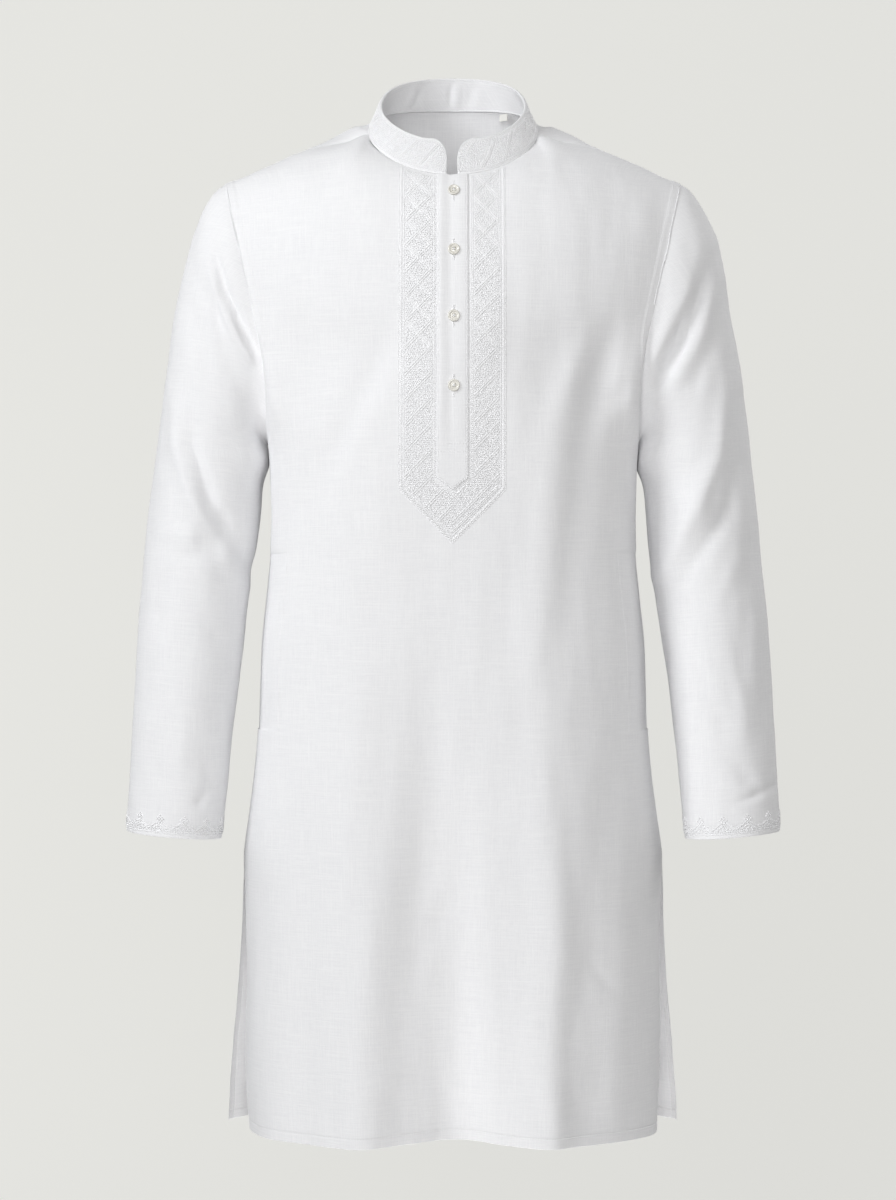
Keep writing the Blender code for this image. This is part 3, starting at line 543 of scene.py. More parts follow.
FREE_EDGE = (0.00015, 0.0005, 0.0011)    # extra lines of the grid just inside a free edge
FAR = 1.0                # a distance at which an edge or a stitch has no effect
EDGE_ROUND = 0.9         # the share of half a wall that a free edge is rounded by
STEADY = 0.15            # keeps threads level where the cloth lies nearly flat
MERGE = 0.00001          # points nearer than this are one
SHARP_FROM = math.radians(50)


def fine_grid(grid, step, tube=False, free=("top", "foot", "left", "right")):
    """A coarse grid made smooth and fine, with the coarse cell that each fine line starts."""
    coarse = np.array([[tuple(p) for p in row] for row in grid])
    cells, places = [], []
    for axis, ends in ((0, ("top", "foot")), (1, ("left", "right"))):
        at = lengths(coarse, axis).mean(axis=1 - axis)
        counts = [max(1, round(gap / step[axis])) for gap in np.diff(at)]
        fine = [blend(at[i], at[i + 1], k / n) for i, n in enumerate(counts) for k in range(n)]
        if ends[0] in free:
            fine += [at[0] + gap for gap in FREE_EDGE]
        if ends[1] in free:
            fine += [at[-1] - gap for gap in FREE_EDGE]
        fine = np.array(sorted(fine) + [at[-1]])
        cells.append(np.clip(np.searchsorted(at, fine + 1e-9, side="right") - 1, 0, len(at) - 2))
        places.append((at, fine))
    rows = spread(coarse, *places[0], wrap=False)
    across = spread(rows.swapaxes(0, 1), *places[1], wrap=tube)
    return across.swapaxes(0, 1).copy(), cells


class Skin:
    """One piece of cloth as a grid of outer points, with its directions and its flat lengths."""

    def __init__(self, name, points, thickness=CLOTH, tube=False, cells=None):
        self.name = name
        self.points = points
        self.thick = np.full(points.shape[:2], thickness)
        self.tube = tube
        self.cells = cells
        self.grain = None
        self.missing = set()
        self.stitch_lines = np.full((*points.shape[:2], 3), FAR)
        # where the linen's colour is darkened as painted shade between stitches
        self.stitch_shade_mask = np.zeros(points.shape[:2])
        self.thinned = np.zeros(points.shape[:2])
        self.measure()

    def measure(self):
        """Works out directions and lengths again after the points have moved."""
        p = self.points
        if self.tube:
            wide = np.concatenate((p[:, -2:-1], p, p[:, 1:2]), axis=1)
            across = wide[:, 2:] - wide[:, :-2]
        else:
            across = np.gradient(p, axis=1)
        normal = np.cross(across, np.gradient(p, axis=0))
        normal /= np.linalg.norm(normal, axis=2, keepdims=True) + 1e-12
        r, c = p.shape[0] // 2, p.shape[1] // 4
        centre = p.mean(axis=(0, 1)) if self.tube else np.array((0.0, 0.0, p[r, c, 2] - 0.02))
        self.normals = normal if normal[r, c] @ (p[r, c] - centre) > 0 else -normal
        self.across = lengths(p, 1)
        self.down = lengths(p, 0)
        self.from_side = np.minimum(self.across, self.across[:, -1:] - self.across)
        self.from_foot = self.down[-1:] - self.down

    def push(self, amount):
        """Moves the points along their directions."""
        self.points = self.points + self.normals * amount[..., None]
        self.measure()

    def soften(self, distance):
        """Rounds the wall off where the distance from a free edge falls to nought."""
        radius = self.thick.max() / 2
        cut = np.clip(1 - distance / radius, 0.0, 1.0)
        drawn = radius * EDGE_ROUND * (1 - np.sqrt(1 - cut * cut))
        self.points = self.points - self.normals * drawn[..., None]
        self.thick = self.thick - 2 * drawn

    def rumple(self, size, tall, amount, seed):
        """A soft unevenness as a height field; size and tall are its grain across and down."""
        flat = self.points.reshape(-1, 3)
        wave = [noise.noise((x / size + seed, y / size, z / tall)) for x, y, z in flat]
        return np.array(wave).reshape(self.points.shape[:2]) * amount

    def line(self, field, value, by_row, keep=None):
        """The points and directions where a field reaches a value, one for each row or column."""
        points, normals = self.points, self.normals
        if not by_row:
            field, points, normals = field.T, points.swapaxes(0, 1), normals.swapaxes(0, 1)
        found = []
        for f, p, n in zip(field, points, normals):
            order = 1 if f[-1] > f[0] else -1
            place = float(np.interp(value, f[::order], np.arange(len(f))[::order]))
            i = min(int(place), len(f) - 2)
            spot = Vector(blend(p[i], p[i + 1], place - i))
            if keep is None or keep(spot):
                found.append((spot, Vector(blend(n[i], n[i + 1], place - i))))
        return found

    def place(self, row, col):
        """The outer point and direction at a fraction of a row and of a column."""
        i = min(int(row), self.points.shape[0] - 2)
        j = min(int(col), self.points.shape[1] - 2)
        result = []
        for field in (self.points, self.normals):
            upper = blend(field[i, j], field[i, j + 1], col - j)
            lower = blend(field[i + 1, j], field[i + 1, j + 1], col - j)
            result.append(Vector(blend(upper, lower, row - i)))
        return tuple(result)

    def column_of(self, s):
        """The fraction of a column at a width along the foot."""
        row = self.across[-1]
        return float(np.interp(s % row[-1] if self.tube else s, row, np.arange(len(row))))

    def spot(self, s, h):
        """The outer point and direction at a width along the foot and a height above it."""
        col = self.column_of(s)
        i = min(int(col), self.points.shape[1] - 2)
        up = blend(self.from_foot[:, i], self.from_foot[:, i + 1], col - i)[::-1]
        return self.place(len(up) - 1 - float(np.interp(h, up, np.arange(len(up)))), col)

    def tall(self, s):
        """The height of the piece at a width along its foot."""
        return float(self.from_foot[0, round(self.column_of(s))])

    def column_at(self, x, heights):
        """Points and directions down the front of the piece at one width."""
        found = []
        for p, n in zip(self.points, self.normals):
            place = float(np.interp(x, p[:, 0], np.arange(len(p))))
            i = min(int(place), len(p) - 2)
            spot = [blend(field[i], field[i + 1], place - i) for field in (p, n)]
            found.append(np.concatenate(spot))
        found = np.array(found)[::-1]
        at = [np.interp(heights, found[:, 2], found[:, k]) for k in range(6)]
        at[0] = np.full_like(at[0], x)
        at[2] = np.array(heights, dtype=float)
        return np.stack(at[:3], axis=1), np.stack(at[3:], axis=1)

    def part(self, name, rows, cols, lift):
        """A piece that lies along this one."""
        points = (self.points + self.normals * lift)[rows, cols]
        made = Skin(name, points)
        made.normals = self.normals[rows, cols]
        made.grain = tuple(field[rows, cols] for field in self.grain)
        return made

    def hang_straight(self):
        """Sets the grain of cloth whose threads hang plumb and lie level, from the middle outwards."""
        side = 1.0 if self.normals[..., 1].mean() < 0 else -1.0
        level = np.cross((0.0, 0.0, 1.0), self.normals) + (STEADY * side, 0.0, 0.0)
        level /= np.linalg.norm(level, axis=2, keepdims=True)
        rise = np.cross(self.normals, level)
        step = np.diff(self.points, axis=1)
        middle = self.points.shape[1] // 2
        found = []
        for way in (level, rise):
            gone = np.cumsum((step * (way[:, 1:] + way[:, :-1]) / 2).sum(axis=2), axis=1)
            gone = np.insert(gone, 0, 0.0, axis=1)
            found.append(gone - gone[:, middle:middle + 1])
        self.grain = found[0], found[1] + self.from_foot[:, middle:middle + 1]

    def build(self, surface):
        """Makes the closed wall of the piece, with its grain as a UV map in metres."""
        rows, cols = self.points.shape[:2]
        bm = bmesh.new()
        bmesh.ops.create_grid(bm, x_segments=cols - 1, y_segments=rows - 1, size=1.0)
        row_layer = bm.verts.layers.int.new("row")
        col_layer = bm.verts.layers.int.new("col")
        lines = bm.verts.layers.float_vector.new("stitch_lines")
        stitch_shade_mask = bm.verts.layers.float.new("stitch_shade_mask")
        uv = bm.loops.layers.uv.new("cloth")
        for vert in bm.verts:
            vert[col_layer] = round((vert.co.x + 1) / 2 * (cols - 1))
            vert[row_layer] = round((vert.co.y + 1) / 2 * (rows - 1))
        across, height = self.grain or (self.across - self.across[:, :1], self.from_foot)
        for vert in bm.verts:
            r, c = vert[row_layer], vert[col_layer]
            vert.co = self.points[r, c]
            vert[lines] = self.stitch_lines[r, c]
            vert[stitch_shade_mask] = self.stitch_shade_mask[r, c]
            for loop in vert.link_loops:
                loop[uv].uv = (across[r, c], height[r, c])
        if self.missing:
            holes = [f for f in bm.faces if self.cell(f, row_layer, col_layer) in self.missing]
            bmesh.ops.delete(bm, geom=holes, context="FACES")
        if self.tube:
            ends = [v for v in bm.verts if v[col_layer] in (0, cols - 1)]
            bmesh.ops.remove_doubles(bm, verts=ends, dist=MERGE)
        grown = bmesh.ops.extrude_face_region(bm, geom=bm.faces[:])
        for vert in grown["geom"]:
            if isinstance(vert, bmesh.types.BMVert):
                r, c = vert[row_layer], vert[col_layer]
                vert.co -= Vector(self.normals[r, c] * self.thick[r, c])
                vert[stitch_shade_mask] = 0.0
        bmesh.ops.recalc_face_normals(bm, faces=bm.faces[:])
        for name in ("row", "col"):
            bm.verts.layers.int.remove(bm.verts.layers.int[name])
        return add_piece(self.name, bm, surface)

    def cell(self, face, row_layer, col_layer):
        """The coarse cell that a face of the fine grid lies in."""
        row = min(v[row_layer] for v in face.verts)
        col = min(v[col_layer] for v in face.verts)
        return int(self.cells[0][row]), int(self.cells[1][col])


def add_object(name, bm, surface):
    """Puts a finished mesh into the scene, smooth and in one material."""
    mesh = bpy.data.meshes.new(name)
    bm.to_mesh(mesh)
    bm.free()
    mesh.materials.append(surface)
    mesh.shade_smooth()
    made = bpy.data.objects.new(name, mesh)
    bpy.context.scene.collection.objects.link(made)
    return made


def add_piece(name, bm, surface):
    """Adds a piece that rides on the one body."""
    piece = add_object(name, bm, surface)
    piece.data.set_sharp_from_angle(angle=SHARP_FROM)
    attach(piece, "root")
    return piece


def turned(profile, steps):
    """A form turned round the up axis from distances to the axis and heights."""
    bm = bmesh.new()
    verts = [bm.verts.new((distance, 0, height)) for distance, height in profile]
    edges = [bm.edges.new(pair) for pair in zip(verts, verts[1:])]
    bmesh.ops.spin(
        bm, geom=verts + edges, cent=(0, 0, 0), axis=(0, 0, 1), angle=math.tau, steps=steps, use_merge=True
    )
    return bm


# ------------------------------------------------------------------ the pieces' own shapes

FRONT_STEP = (0.0038, 0.0027)    # the fine grid's steps, down and across
BACK_STEP = (0.0048, 0.0040)
SLEEVE_STEP = (0.0030, 0.0025)
COLLAR_STEP = (0.0022, 0.0022)

# How far stitching lies from the edge beside it
HEM_TURN = 0.0098
SLIT_TURN = 0.0125
CUFF_TURN = 0.0032
ARM_STITCH = 0.0092
SHOULDER_STITCH = 0.0065
PLACKET_STITCH = 0.0016
COLLAR_STITCH = 0.0014
BOX_STITCH_Z = (-0.3284, -0.3362)
SLIT_BAR = 0.004         # how far above a slit its stitching still shows

# A sewn edge is drawn in, and creases die away near it
TUCK = 0.0007
TUCK_REACH = 0.0022
COLLAR_TUCK_REACH = 0.0016
PANEL_CALM = 0.012
SLEEVE_CALM = 0.006
COLLAR_CALM = 0.008
PLACKET_CALM = 0.0016
ALLOWANCE_RISE = 0.0006  # how far the allowance inside an armhole lifts the cloth
ALLOWANCE_END = ARM_STITCH + 0.0002      # and how far in from the seam it ends
ALLOWANCE_STEP = 0.0008  # the width over which it slopes down

# Unevenness of the cloth: its grain across and down, its height, and a seed
PANEL_RUMPLES = ((0.09, 0.20, 0.0018, 3.0), (0.034, 0.10, 0.0012, 8.0), (0.013, 0.045, 0.00035, 14.0))
HEM_RUMPLE = (0.022, 0.030, 0.0009, 23.0)
HEM_RUMPLE_REACH = 0.10
SLEEVE_RUMPLES = ((0.06, 0.12, 0.0018, 5.0), (0.026, 0.055, 0.0011, 11.0), (0.012, 0.030, 0.0003, 17.0))
COLLAR_RUMPLE = (0.018, 0.08, 0.0007, 2.0)

# The creases that show: where they run, how wide they are, and how far they rise or, below nought, sink
FRONT_CREASES = marked(
    # slanting from the chest to the side
    ((-585, -2199, 110, -6), (-777, -2600, 130, -20), (-1197, -3394, 140, -22), (-1388, -3872, 140, -6)),
    ((-585, -2600, 110, 4), (-968, -3394, 140, 14), (-1178, -4206, 150, 4)),
    # falls from the chest
    ((1269, -2180, 120, 12), (1145, -2591, 130, 42), (963, -3183, 170, 27), (887, -4015, 180, 24),
     (801, -4780, 180, 20), (696, -5640, 180, 8)),
    ((1556, -2151, 110, -14), (1422, -2591, 120, -56), (1288, -3183, 150, -38), (1212, -4015, 170, -24),
     (1135, -4780, 170, -20), (1040, -5545, 170, -8)),
    # long folds down to the hem
    ((-442, -5162, 180, 3), (-528, -6405, 180, 13), (-643, -7266, 170, 19), (-805, -8107, 160, 22),
     (-920, -8958, 150, 24), (-920, -9990, 150, 26)),
    ((-126, -5162, 180, -5), (-184, -6405, 180, -17), (-270, -7266, 180, -21), (-404, -8107, 170, -25),
     (-499, -8958, 170, -27), (-518, -9990, 160, -26)),
    ((237, -6596, 180, 4), (313, -7266, 170, 9), (275, -8107, 170, 12), (352, -8958, 170, 15),
     (409, -9990, 170, 12)),
    ((619, -5640, 160, 6), (791, -6501, 160, 15), (935, -7323, 150, 16), (992, -8107, 150, 20),
     (916, -8958, 140, 20), (935, -9990, 140, 26)),
    ((1021, -6023, 150, -4), (1212, -7266, 160, -13), (1308, -8107, 150, -17), (1212, -8958, 150, -18),
     (1221, -9990, 150, -22)),
    ((-1388, -7648, 150, -4), (-1436, -8795, 150, -15), (-1484, -9942, 140, -19)),
    ((1575, -7266, 120, 3), (1613, -8222, 120, 12), (1556, -9178, 120, 14), (1613, -9942, 120, 8)),
    # soft slanted pulls
    ((-404, -8365, 100, -3), (-146, -7887, 90, -12), (113, -7438, 100, -3)),
    ((447, -4780, 120, -3), (638, -5736, 120, -12), (734, -6692, 120, -4)),
    ((-1599, -2725, 100, -5), (-1369, -2964, 100, -13), (-1102, -3097, 120, -3)),
    ((1786, -2600, 90, -8), (1575, -2830, 100, -12), (1365, -2964, 120, -3)),
    # small creases near the hem and the side
    ((-872, -9254, 40, -2), (-700, -9197, 40, -10), (-471, -9130, 40, -2)),
    ((447, -8986, 40, 2), (715, -8872, 40, 9), (906, -8700, 40, 2)),
    ((1308, -8222, 50, -3), (1460, -8461, 50, -10), (1652, -8623, 50, -2)),
    ((-1465, -4876, 60, -2), (-1255, -4990, 60, -7), (-987, -5048, 60, -2)),
    ((-222, -9560, 50, 2), (-12, -9464, 50, 8), (218, -9503, 50, 2)),
)
BACK_CREASES = marked(
    # falls from the shoulder blades
    ((-1178, -1434, 160, 6), (-1255, -3059, 180, 20), (-1178, -4971, 180, 12)),
    ((1116, -1338, 160, 6), (1174, -3059, 180, 22), (1078, -5162, 180, 12)),
    ((-1465, -1912, 150, -6), (-1541, -3442, 160, -18), (-1503, -4780, 160, -6)),
    ((-31, -3059, 160, -6), (-69, -4780, 180, -18), (-12, -6310, 180, -10)),
    # folds down to the hem
    ((-987, -6310, 150, 8), (-1044, -8030, 150, 22), (-1082, -9751, 140, 28)),
    ((1021, -6118, 150, 8), (1078, -7935, 150, 22), (1116, -9751, 140, 28)),
    ((-509, -6692, 160, -8), (-547, -8222, 160, -20), (-585, -9751, 150, -24)),
    ((447, -6692, 160, 4), (428, -8222, 160, 16), (409, -9751, 150, 20)),
    # soft slanted pulls
    ((-1465, -2486, 90, -4), (-1178, -2792, 100, -13), (-872, -2964, 100, -3)),
    ((1403, -2533, 90, -4), (1135, -2820, 100, -13), (830, -2983, 100, -3)),
)
RIGHT_SLEEVE_CREASES = marked(
    # from the armpit
    ((-2365, -1248, 32, -4), (-2306, -1464, 33, -26), (-2218, -1759, 35, -46), (-2090, -2033, 42, -50),
     (-1992, -2220, 44, -46), (-1904, -2367, 44, -38)),
    ((-2404, -1464, 40, 6), (-2316, -1759, 44, 30), (-2189, -2063, 46, 38), (-2081, -2259, 46, 38),
     (-1983, -2416, 46, 25)),
    ((-2542, -1464, 50, -3), (-2453, -1759, 50, -12), (-2306, -2072, 50, -3)),
    ((-2591, -1817, 60, -4), (-2463, -2308, 60, -15), (-2365, -2563, 60, -5)),
    # down the inner side
    ((-2208, -2347, 90, -8), (-1992, -2818, 110, -32), (-1796, -3465, 120, -36), (-1757, -3848, 100, -10)),
    # round the elbow
    ((-2758, -2740, 80, 8), (-2718, -3259, 80, 32), (-2561, -3799, 80, 40), (-2336, -4162, 80, 34),
     (-2110, -4633, 70, 14)),
    ((-2601, -2700, 80, -8), (-2552, -3259, 80, -36), (-2395, -3770, 80, -46), (-2169, -4113, 80, -42),
     (-1953, -4584, 70, -18)),
    ((-2875, -4113, 70, 4), (-2679, -4133, 70, 13), (-2463, -4152, 70, 4)),
    ((-2797, -4319, 70, -4), (-2581, -4339, 70, -13), (-2404, -4358, 70, -4)),
    # down the forearm
    ((-2483, -4878, 80, -4), (-2326, -5172, 80, -18), (-2189, -5447, 80, -5)),
    ((-2875, -4388, 90, -3), (-2895, -4878, 100, -16), (-2816, -5369, 100, -3)),
    ((-2973, -5663, 70, 3), (-2856, -5271, 70, 13), (-2777, -4878, 60, 3)),
    # dimple above the cuff
    ((-2444, -6271, 60, -5), (-2375, -6565, 50, -28), (-2473, -6742, 50, -32)),
    ((-2973, -6153, 80, -3), (-2895, -6467, 80, -16), (-2758, -6742, 80, -3)),
    ((-2620, -5761, 80, 3), (-2659, -6251, 80, 15), (-2620, -6742, 80, 4)),
)
LEFT_SLEEVE_CREASES = marked(
    # from the armpit
    ((2393, -1346, 70, 10), (2285, -1759, 75, 40), (2108, -2131, 75, 42), (1951, -2426, 65, 20)),
    ((2530, -1425, 65, -12), (2412, -1866, 70, -46), (2236, -2278, 70, -48), (2030, -2641, 65, -30)),
    ((2501, -1798, 60, 6), (2432, -2180, 70, 19), (2236, -2573, 70, 12)),
    ((2638, -1719, 70, -8), (2599, -2131, 80, -24), (2363, -2681, 80, -14)),
    # round the elbow
    ((2687, -2033, 90, 6), (2687, -2720, 90, 34), (2589, -3387, 90, 40), (2344, -3956, 90, 36),
     (2049, -4535, 80, 18)),
    ((2854, -2779, 80, -12), (2834, -3426, 90, -32), (2716, -3877, 90, -38), (2442, -4289, 90, -30),
     (2128, -4741, 80, -8)),
    ((2854, -3995, 80, 4), (2795, -4388, 90, 16), (2540, -4878, 90, 6)),
    # down the forearm
    ((2324, -5172, 90, -4), (2461, -5663, 90, -17), (2638, -6055, 90, -4)),
    ((2952, -4388, 80, 3), (2981, -4976, 80, 15), (2932, -5663, 80, 5)),
    ((2658, -5172, 70, 3), (2795, -5663, 80, 15), (2854, -6153, 70, 4)),
    # above the cuff
    ((2697, -6771, 40, -5), (2913, -6703, 40, -24), (3148, -6605, 40, -10)),
    ((2736, -6350, 80, -5), (2873, -6526, 80, -24), (2971, -6644, 60, -14)),
    # down from the shoulder
    ((2403, -905, 120, 10), (2510, -1219, 150, 55), (2559, -1592, 140, 45), (2609, -2014, 120, 8)),
)


def heights(skin, creases, rumples, shift=0.0):
    """All the creases and unevenness of a piece as one height field; a shift makes other seeds."""
    x, z = skin.points[..., 0], skin.points[..., 2]
    total = sum(creased(marks, x, z) for marks in creases)
    for size, tall, amount, seed in rumples:
        total += skin.rumple(size, tall, amount, seed + shift)
    return total


ARMPIT_REACH = 0.030     # how far from the armpit's level the easing reaches
SEAM_REACH = 0.018       # the width beside a seam over which it dies away
EASE_ROUNDS = 60


def ease_armpit(skin):
    """Lets the cloth fall smoothly past the armpits, away from the sewn edges."""
    near = swell(skin.points[..., 2] - ARMPIT_Z, ARMPIT_REACH) * (1 - swell(skin.from_side, SEAM_REACH))
    for _ in range(EASE_ROUNDS):
        p = skin.points
        calm = p.copy()
        calm[1:-1] = (p[:-2] + 2 * p[1:-1] + p[2:]) / 4
        skin.points = p + (calm - p) * near[..., None]
    skin.measure()


SLIT_EASE = 0.09         # the height below a slit's top over which the back's edge turns out
SWING = 0.0095           # how far the edge itself goes, and how wide that is
SWING_WIDTH = 0.020
HOLLOW = 0.0085          # how deep the hollow beside it is, where, and how wide
HOLLOW_PLACE = 0.040
HOLLOW_WIDTH = 0.024


def turn_out(skin):
    """Below the slits, swings the back's free edges away from the front so that their insides show."""
    below = smooth_step((SLIT_TOP_Z - skin.points[..., 2]) / SLIT_EASE)
    inwards = HOLLOW * swell(skin.from_side - HOLLOW_PLACE, HOLLOW_WIDTH) * below
    skin.points = skin.points - skin.normals * inwards[..., None]
    skin.points[..., 1] += SWING * swell(skin.from_side, SWING_WIDTH) * below
    skin.measure()


SHOULDER_REACH = 0.045
SHOULDER_EASE = (           # place across and lift of the shoulders' ridge
    (-0.205, 0.0), (-0.180, 0.0020), (-0.160, 0.0044), (-0.140, 0.0036), (-0.118, 0.0), (-0.102, -0.0032),
    (-0.086, -0.0020), (-0.070, 0.0), (0.070, 0.0), (0.094, -0.0030), (0.108, -0.0010), (0.124, 0.0024),
    (0.143, 0.0048), (0.166, 0.0040), (0.188, 0.0030), (0.208, 0.0),
)


def settle_shoulders(skin):
    """Draws the shoulders into a straight line from the collar to the sleeves."""
    lift = np.interp(skin.points[..., 0], *np.array(SHOULDER_EASE).T)
    skin.points[..., 2] += lift * swell(skin.down, SHOULDER_REACH)
    skin.measure()


MOUTH_THINNED = 0.0009   # how much of the wall goes beside a pocket mouth, to look like one layer
MOUTH_BESIDE = 0.003     # how far that reaches beside the mouth, above its top and below it
MOUTH_ABOVE = 0.0025
MOUTH_START = 0.0015


def mouth_column(skin):
    """The fine column along the edge of a pocket mouth."""
    return int(np.searchsorted(skin.cells[1], POCKET_COLUMNS)) + 1


def thin_mouths(skin, z):
    """Thins the wall just above and beside the top of each pocket mouth."""
    near = swell(np.maximum(z - POCKET_TOP_Z, 0.0), MOUTH_ABOVE) * (z > POCKET_TOP_Z - MOUTH_START)
    mouth = mouth_column(skin)
    beside = skin.from_side - skin.across[:, mouth:mouth + 1]
    skin.thinned = MOUTH_THINNED * near * np.clip(1 - beside / MOUTH_BESIDE, 0.0, 1.0)
    skin.points = skin.points - skin.normals * skin.thinned[..., None]
    skin.thick = skin.thick - skin.thinned


def open_front(skin):
    """Leaves the placket's slot and the pocket mouths open in the front."""
    last = len(panel_grid(True)[0]) - 2
    middle = (last - 1) // 2
    rows = range(level_row(POCKET_TOP_Z), level_row(POCKET_BOTTOM_Z))
    skin.missing |= set(product(range(level_row(PLACKET_SLOT_Z)), (middle, middle + 1)))
    for i in range(POCKET_COLUMNS):
        skin.missing |= set(product(rows, (i, last - i)))


@lru_cache(None)
def panel_skin(front):
    """The front or the back as a fine skin."""
    points, cells = fine_grid(panel_grid(front), FRONT_STEP if front else BACK_STEP, free=("foot",))
    skin = Skin("linen_front" if front else "linen_back", points, cells=cells)
    z = skin.points[..., 2]
    ease_armpit(skin)
    if not front:
        turn_out(skin)
    edge = np.minimum(np.where(z > SLIT_TOP_Z, skin.from_side, FAR), skin.down)
    field = heights(skin, FRONT_CREASES if front else BACK_CREASES, PANEL_RUMPLES)
    field += skin.rumple(*HEM_RUMPLE) * swell(skin.from_foot, HEM_RUMPLE_REACH)
    folded_in = np.where(z > ARMPIT_Z, skin.down, edge)
    field = field * (1 - swell(edge, PANEL_CALM)) - TUCK * swell(folded_in, TUCK_REACH)
    allowance = np.clip((ALLOWANCE_END - skin.from_side) / ALLOWANCE_STEP, 0.0, 1.0)
    skin.push(field + ALLOWANCE_RISE * allowance * (z > ARMPIT_Z + 0.01))
    settle_shoulders(skin)
    skin.hang_straight()
    skin.soften(np.minimum(np.where(z <= SLIT_TOP_Z, skin.from_side, FAR), skin.from_foot))
    if front:
        thin_mouths(skin, z)
        open_front(skin)
        # The bib's embroidered field, where the linen's colour gets painted shade between the stitches
        for r, c in zip(*np.nonzero((abs(skin.points[..., 0]) < BIB_HALF + 0.002) & (z > BIB_TIP_Z))):
            skin.stitch_shade_mask[r, c] = in_bib(skin.points[r, c, 0], z[r, c], 0.001, skin.points[0])
    skin.stitch_lines[..., 0] = np.where(z > SLIT_TOP_Z - SLIT_BAR, FAR, skin.from_side - SLIT_TURN)
    skin.stitch_lines[..., 1] = skin.from_foot - HEM_TURN
    return skin


UNDERARM_Z = -0.337      # where the sleeve hangs full against the body's side
UNDERARM_REACH = 0.018
UNDERARM_FULLNESS = 0.0085
SIDE_X = 0.1845          # just outside the body's side seam there


def fill_underarm(skin, side):
    """Lets the sleeve hang full against the body just below the armpit."""
    x = skin.points[..., 0] * side
    facing = np.clip(-skin.normals[..., 0] * side, 0.0, 1.0)
    near = swell(skin.points[..., 2] - UNDERARM_Z, UNDERARM_REACH)
    moved = np.maximum(x - UNDERARM_FULLNESS * facing * near, np.minimum(x, SIDE_X))
    skin.points[..., 0] = side * moved
    skin.measure()


CUFF_EMBROIDERED = (0.004, 0.0135)       # from and to this height above a cuff's edge


@lru_cache(None)
def sleeve_skin(side):
    """A sleeve as a fine skin, with its open cuff last."""
    points, cells = fine_grid(sleeve_grid(side), SLEEVE_STEP, tube=True, free=("foot",))
    skin = Skin("linen_sleeve_left" if side > 0 else "linen_sleeve_right", points, tube=True, cells=cells)
    field = heights(skin, LEFT_SLEEVE_CREASES if side > 0 else RIGHT_SLEEVE_CREASES, SLEEVE_RUMPLES, side)
    skin.push(field * (1 - swell(skin.down, SLEEVE_CALM)))
    fill_underarm(skin, side)
    skin.soften(skin.from_foot)
    skin.stitch_lines[..., 1] = skin.from_foot - CUFF_TURN
    low, high = CUFF_EMBROIDERED
    # The embroidered band of the cuff, where the linen's colour gets painted shade between the stitches
    skin.stitch_shade_mask = ((skin.from_foot > low) & (skin.from_foot < high)) * 1.0
    return skin


COLLAR_WRINKLES = (         # place across, width, height and slant, at the back of the neck
    (-0.044, 0.0040, -0.0014, 0.35), (-0.036, 0.0040, 0.0011, 0.35), (-0.003, 0.0030, 0.0012, 0.05),
    (0.005, 0.0035, -0.0013, 0.05), (0.018, 0.0045, 0.0010, 0.2), (0.029, 0.0050, -0.0010, 0.2),
    (-0.019, 0.0060, -0.0007, -0.1),
)
BACK_OF_NECK = 0.02      # how far behind the neck points the wrinkles are at their full height
WRINKLE_MIDDLE = 0.015   # the height above the seam at which each wrinkle's place is given
COLLAR_GROOVES = (0.0022, 0.0022, 0.0020)    # pressed lines beside its ends, its rim and its seam


@lru_cache(None)
def collar_skin():
    """The collar as a fine skin, from its sewn base to its rim."""
    points, cells = fine_grid(collar_grid(), COLLAR_STEP, free=("foot", "left", "right"))
    skin = Skin("linen_collar", points, thickness=COLLAR_CLOTH, cells=cells)
    field = skin.rumple(*COLLAR_RUMPLE)
    x, y = skin.points[..., 0], skin.points[..., 1]
    at_back = np.clip(y / BACK_OF_NECK, 0.0, 1.0)
    for place, width, height, slant in COLLAR_WRINKLES:
        field += height * at_back * swell(x - place - slant * (skin.down - WRINKLE_MIDDLE), width)
    field *= 1 - swell(np.minimum(skin.down, skin.from_foot), COLLAR_CALM)
    skin.push(field - TUCK * swell(skin.down, COLLAR_TUCK_REACH))
    skin.soften(np.minimum(skin.from_foot, skin.from_side))
    edges = (skin.from_side, skin.from_foot, skin.down)
    # The collar's embroidered field inside its edges, where the linen's colour gets painted shade between the
    # stitches
    skin.stitch_shade_mask = np.clip((np.minimum.reduce(edges) - 0.001) / 0.002, 0.0, 1.0)
    skin.stitch_lines = np.stack([edge - groove for edge, groove in zip(edges, COLLAR_GROOVES)], axis=2)
    return skin


BAND_COLUMNS = 11
BAND_ROWS = 110
BAND_EDGE = 0.0026       # how far inside a band's edges its even rows and columns end
BAND_DROP = 0.0008       # how far below the collar's seam it starts


def band(name, widths, ends, lift):
    """A band down the middle of the front, lying on it or, with a lift below nought, under it."""
    host = panel_skin(True)
    left, right = widths
    near = np.array(FREE_EDGE)
    even = np.linspace(left + BAND_EDGE, right - BAND_EDGE, BAND_COLUMNS)
    found = []
    for x in (left, *(left + near), *even, *(right - near[::-1]), right):
        foot = ends(x)
        zs = np.linspace(band_top(x), foot + BAND_EDGE, BAND_ROWS)
        points, normals = host.column_at(x, np.concatenate((zs, foot + near[::-1], [foot])))
        found.append((points + normals * lift, normals))
    skin = Skin(name, np.stack([points for points, normals in found], axis=1))
    skin.normals = np.stack([normals for points, normals in found], axis=1)
    skin.grain = skin.points[..., 0], skin.points[..., 2]
    return skin


def band_top(x, row=None):
    """Where a band starts, just under the collar's seam, which is the first row of the front."""
    row = panel_skin(True).points[0] if row is None else row
    return float(np.interp(x, row[:, 0], row[:, 2])) - BAND_DROP


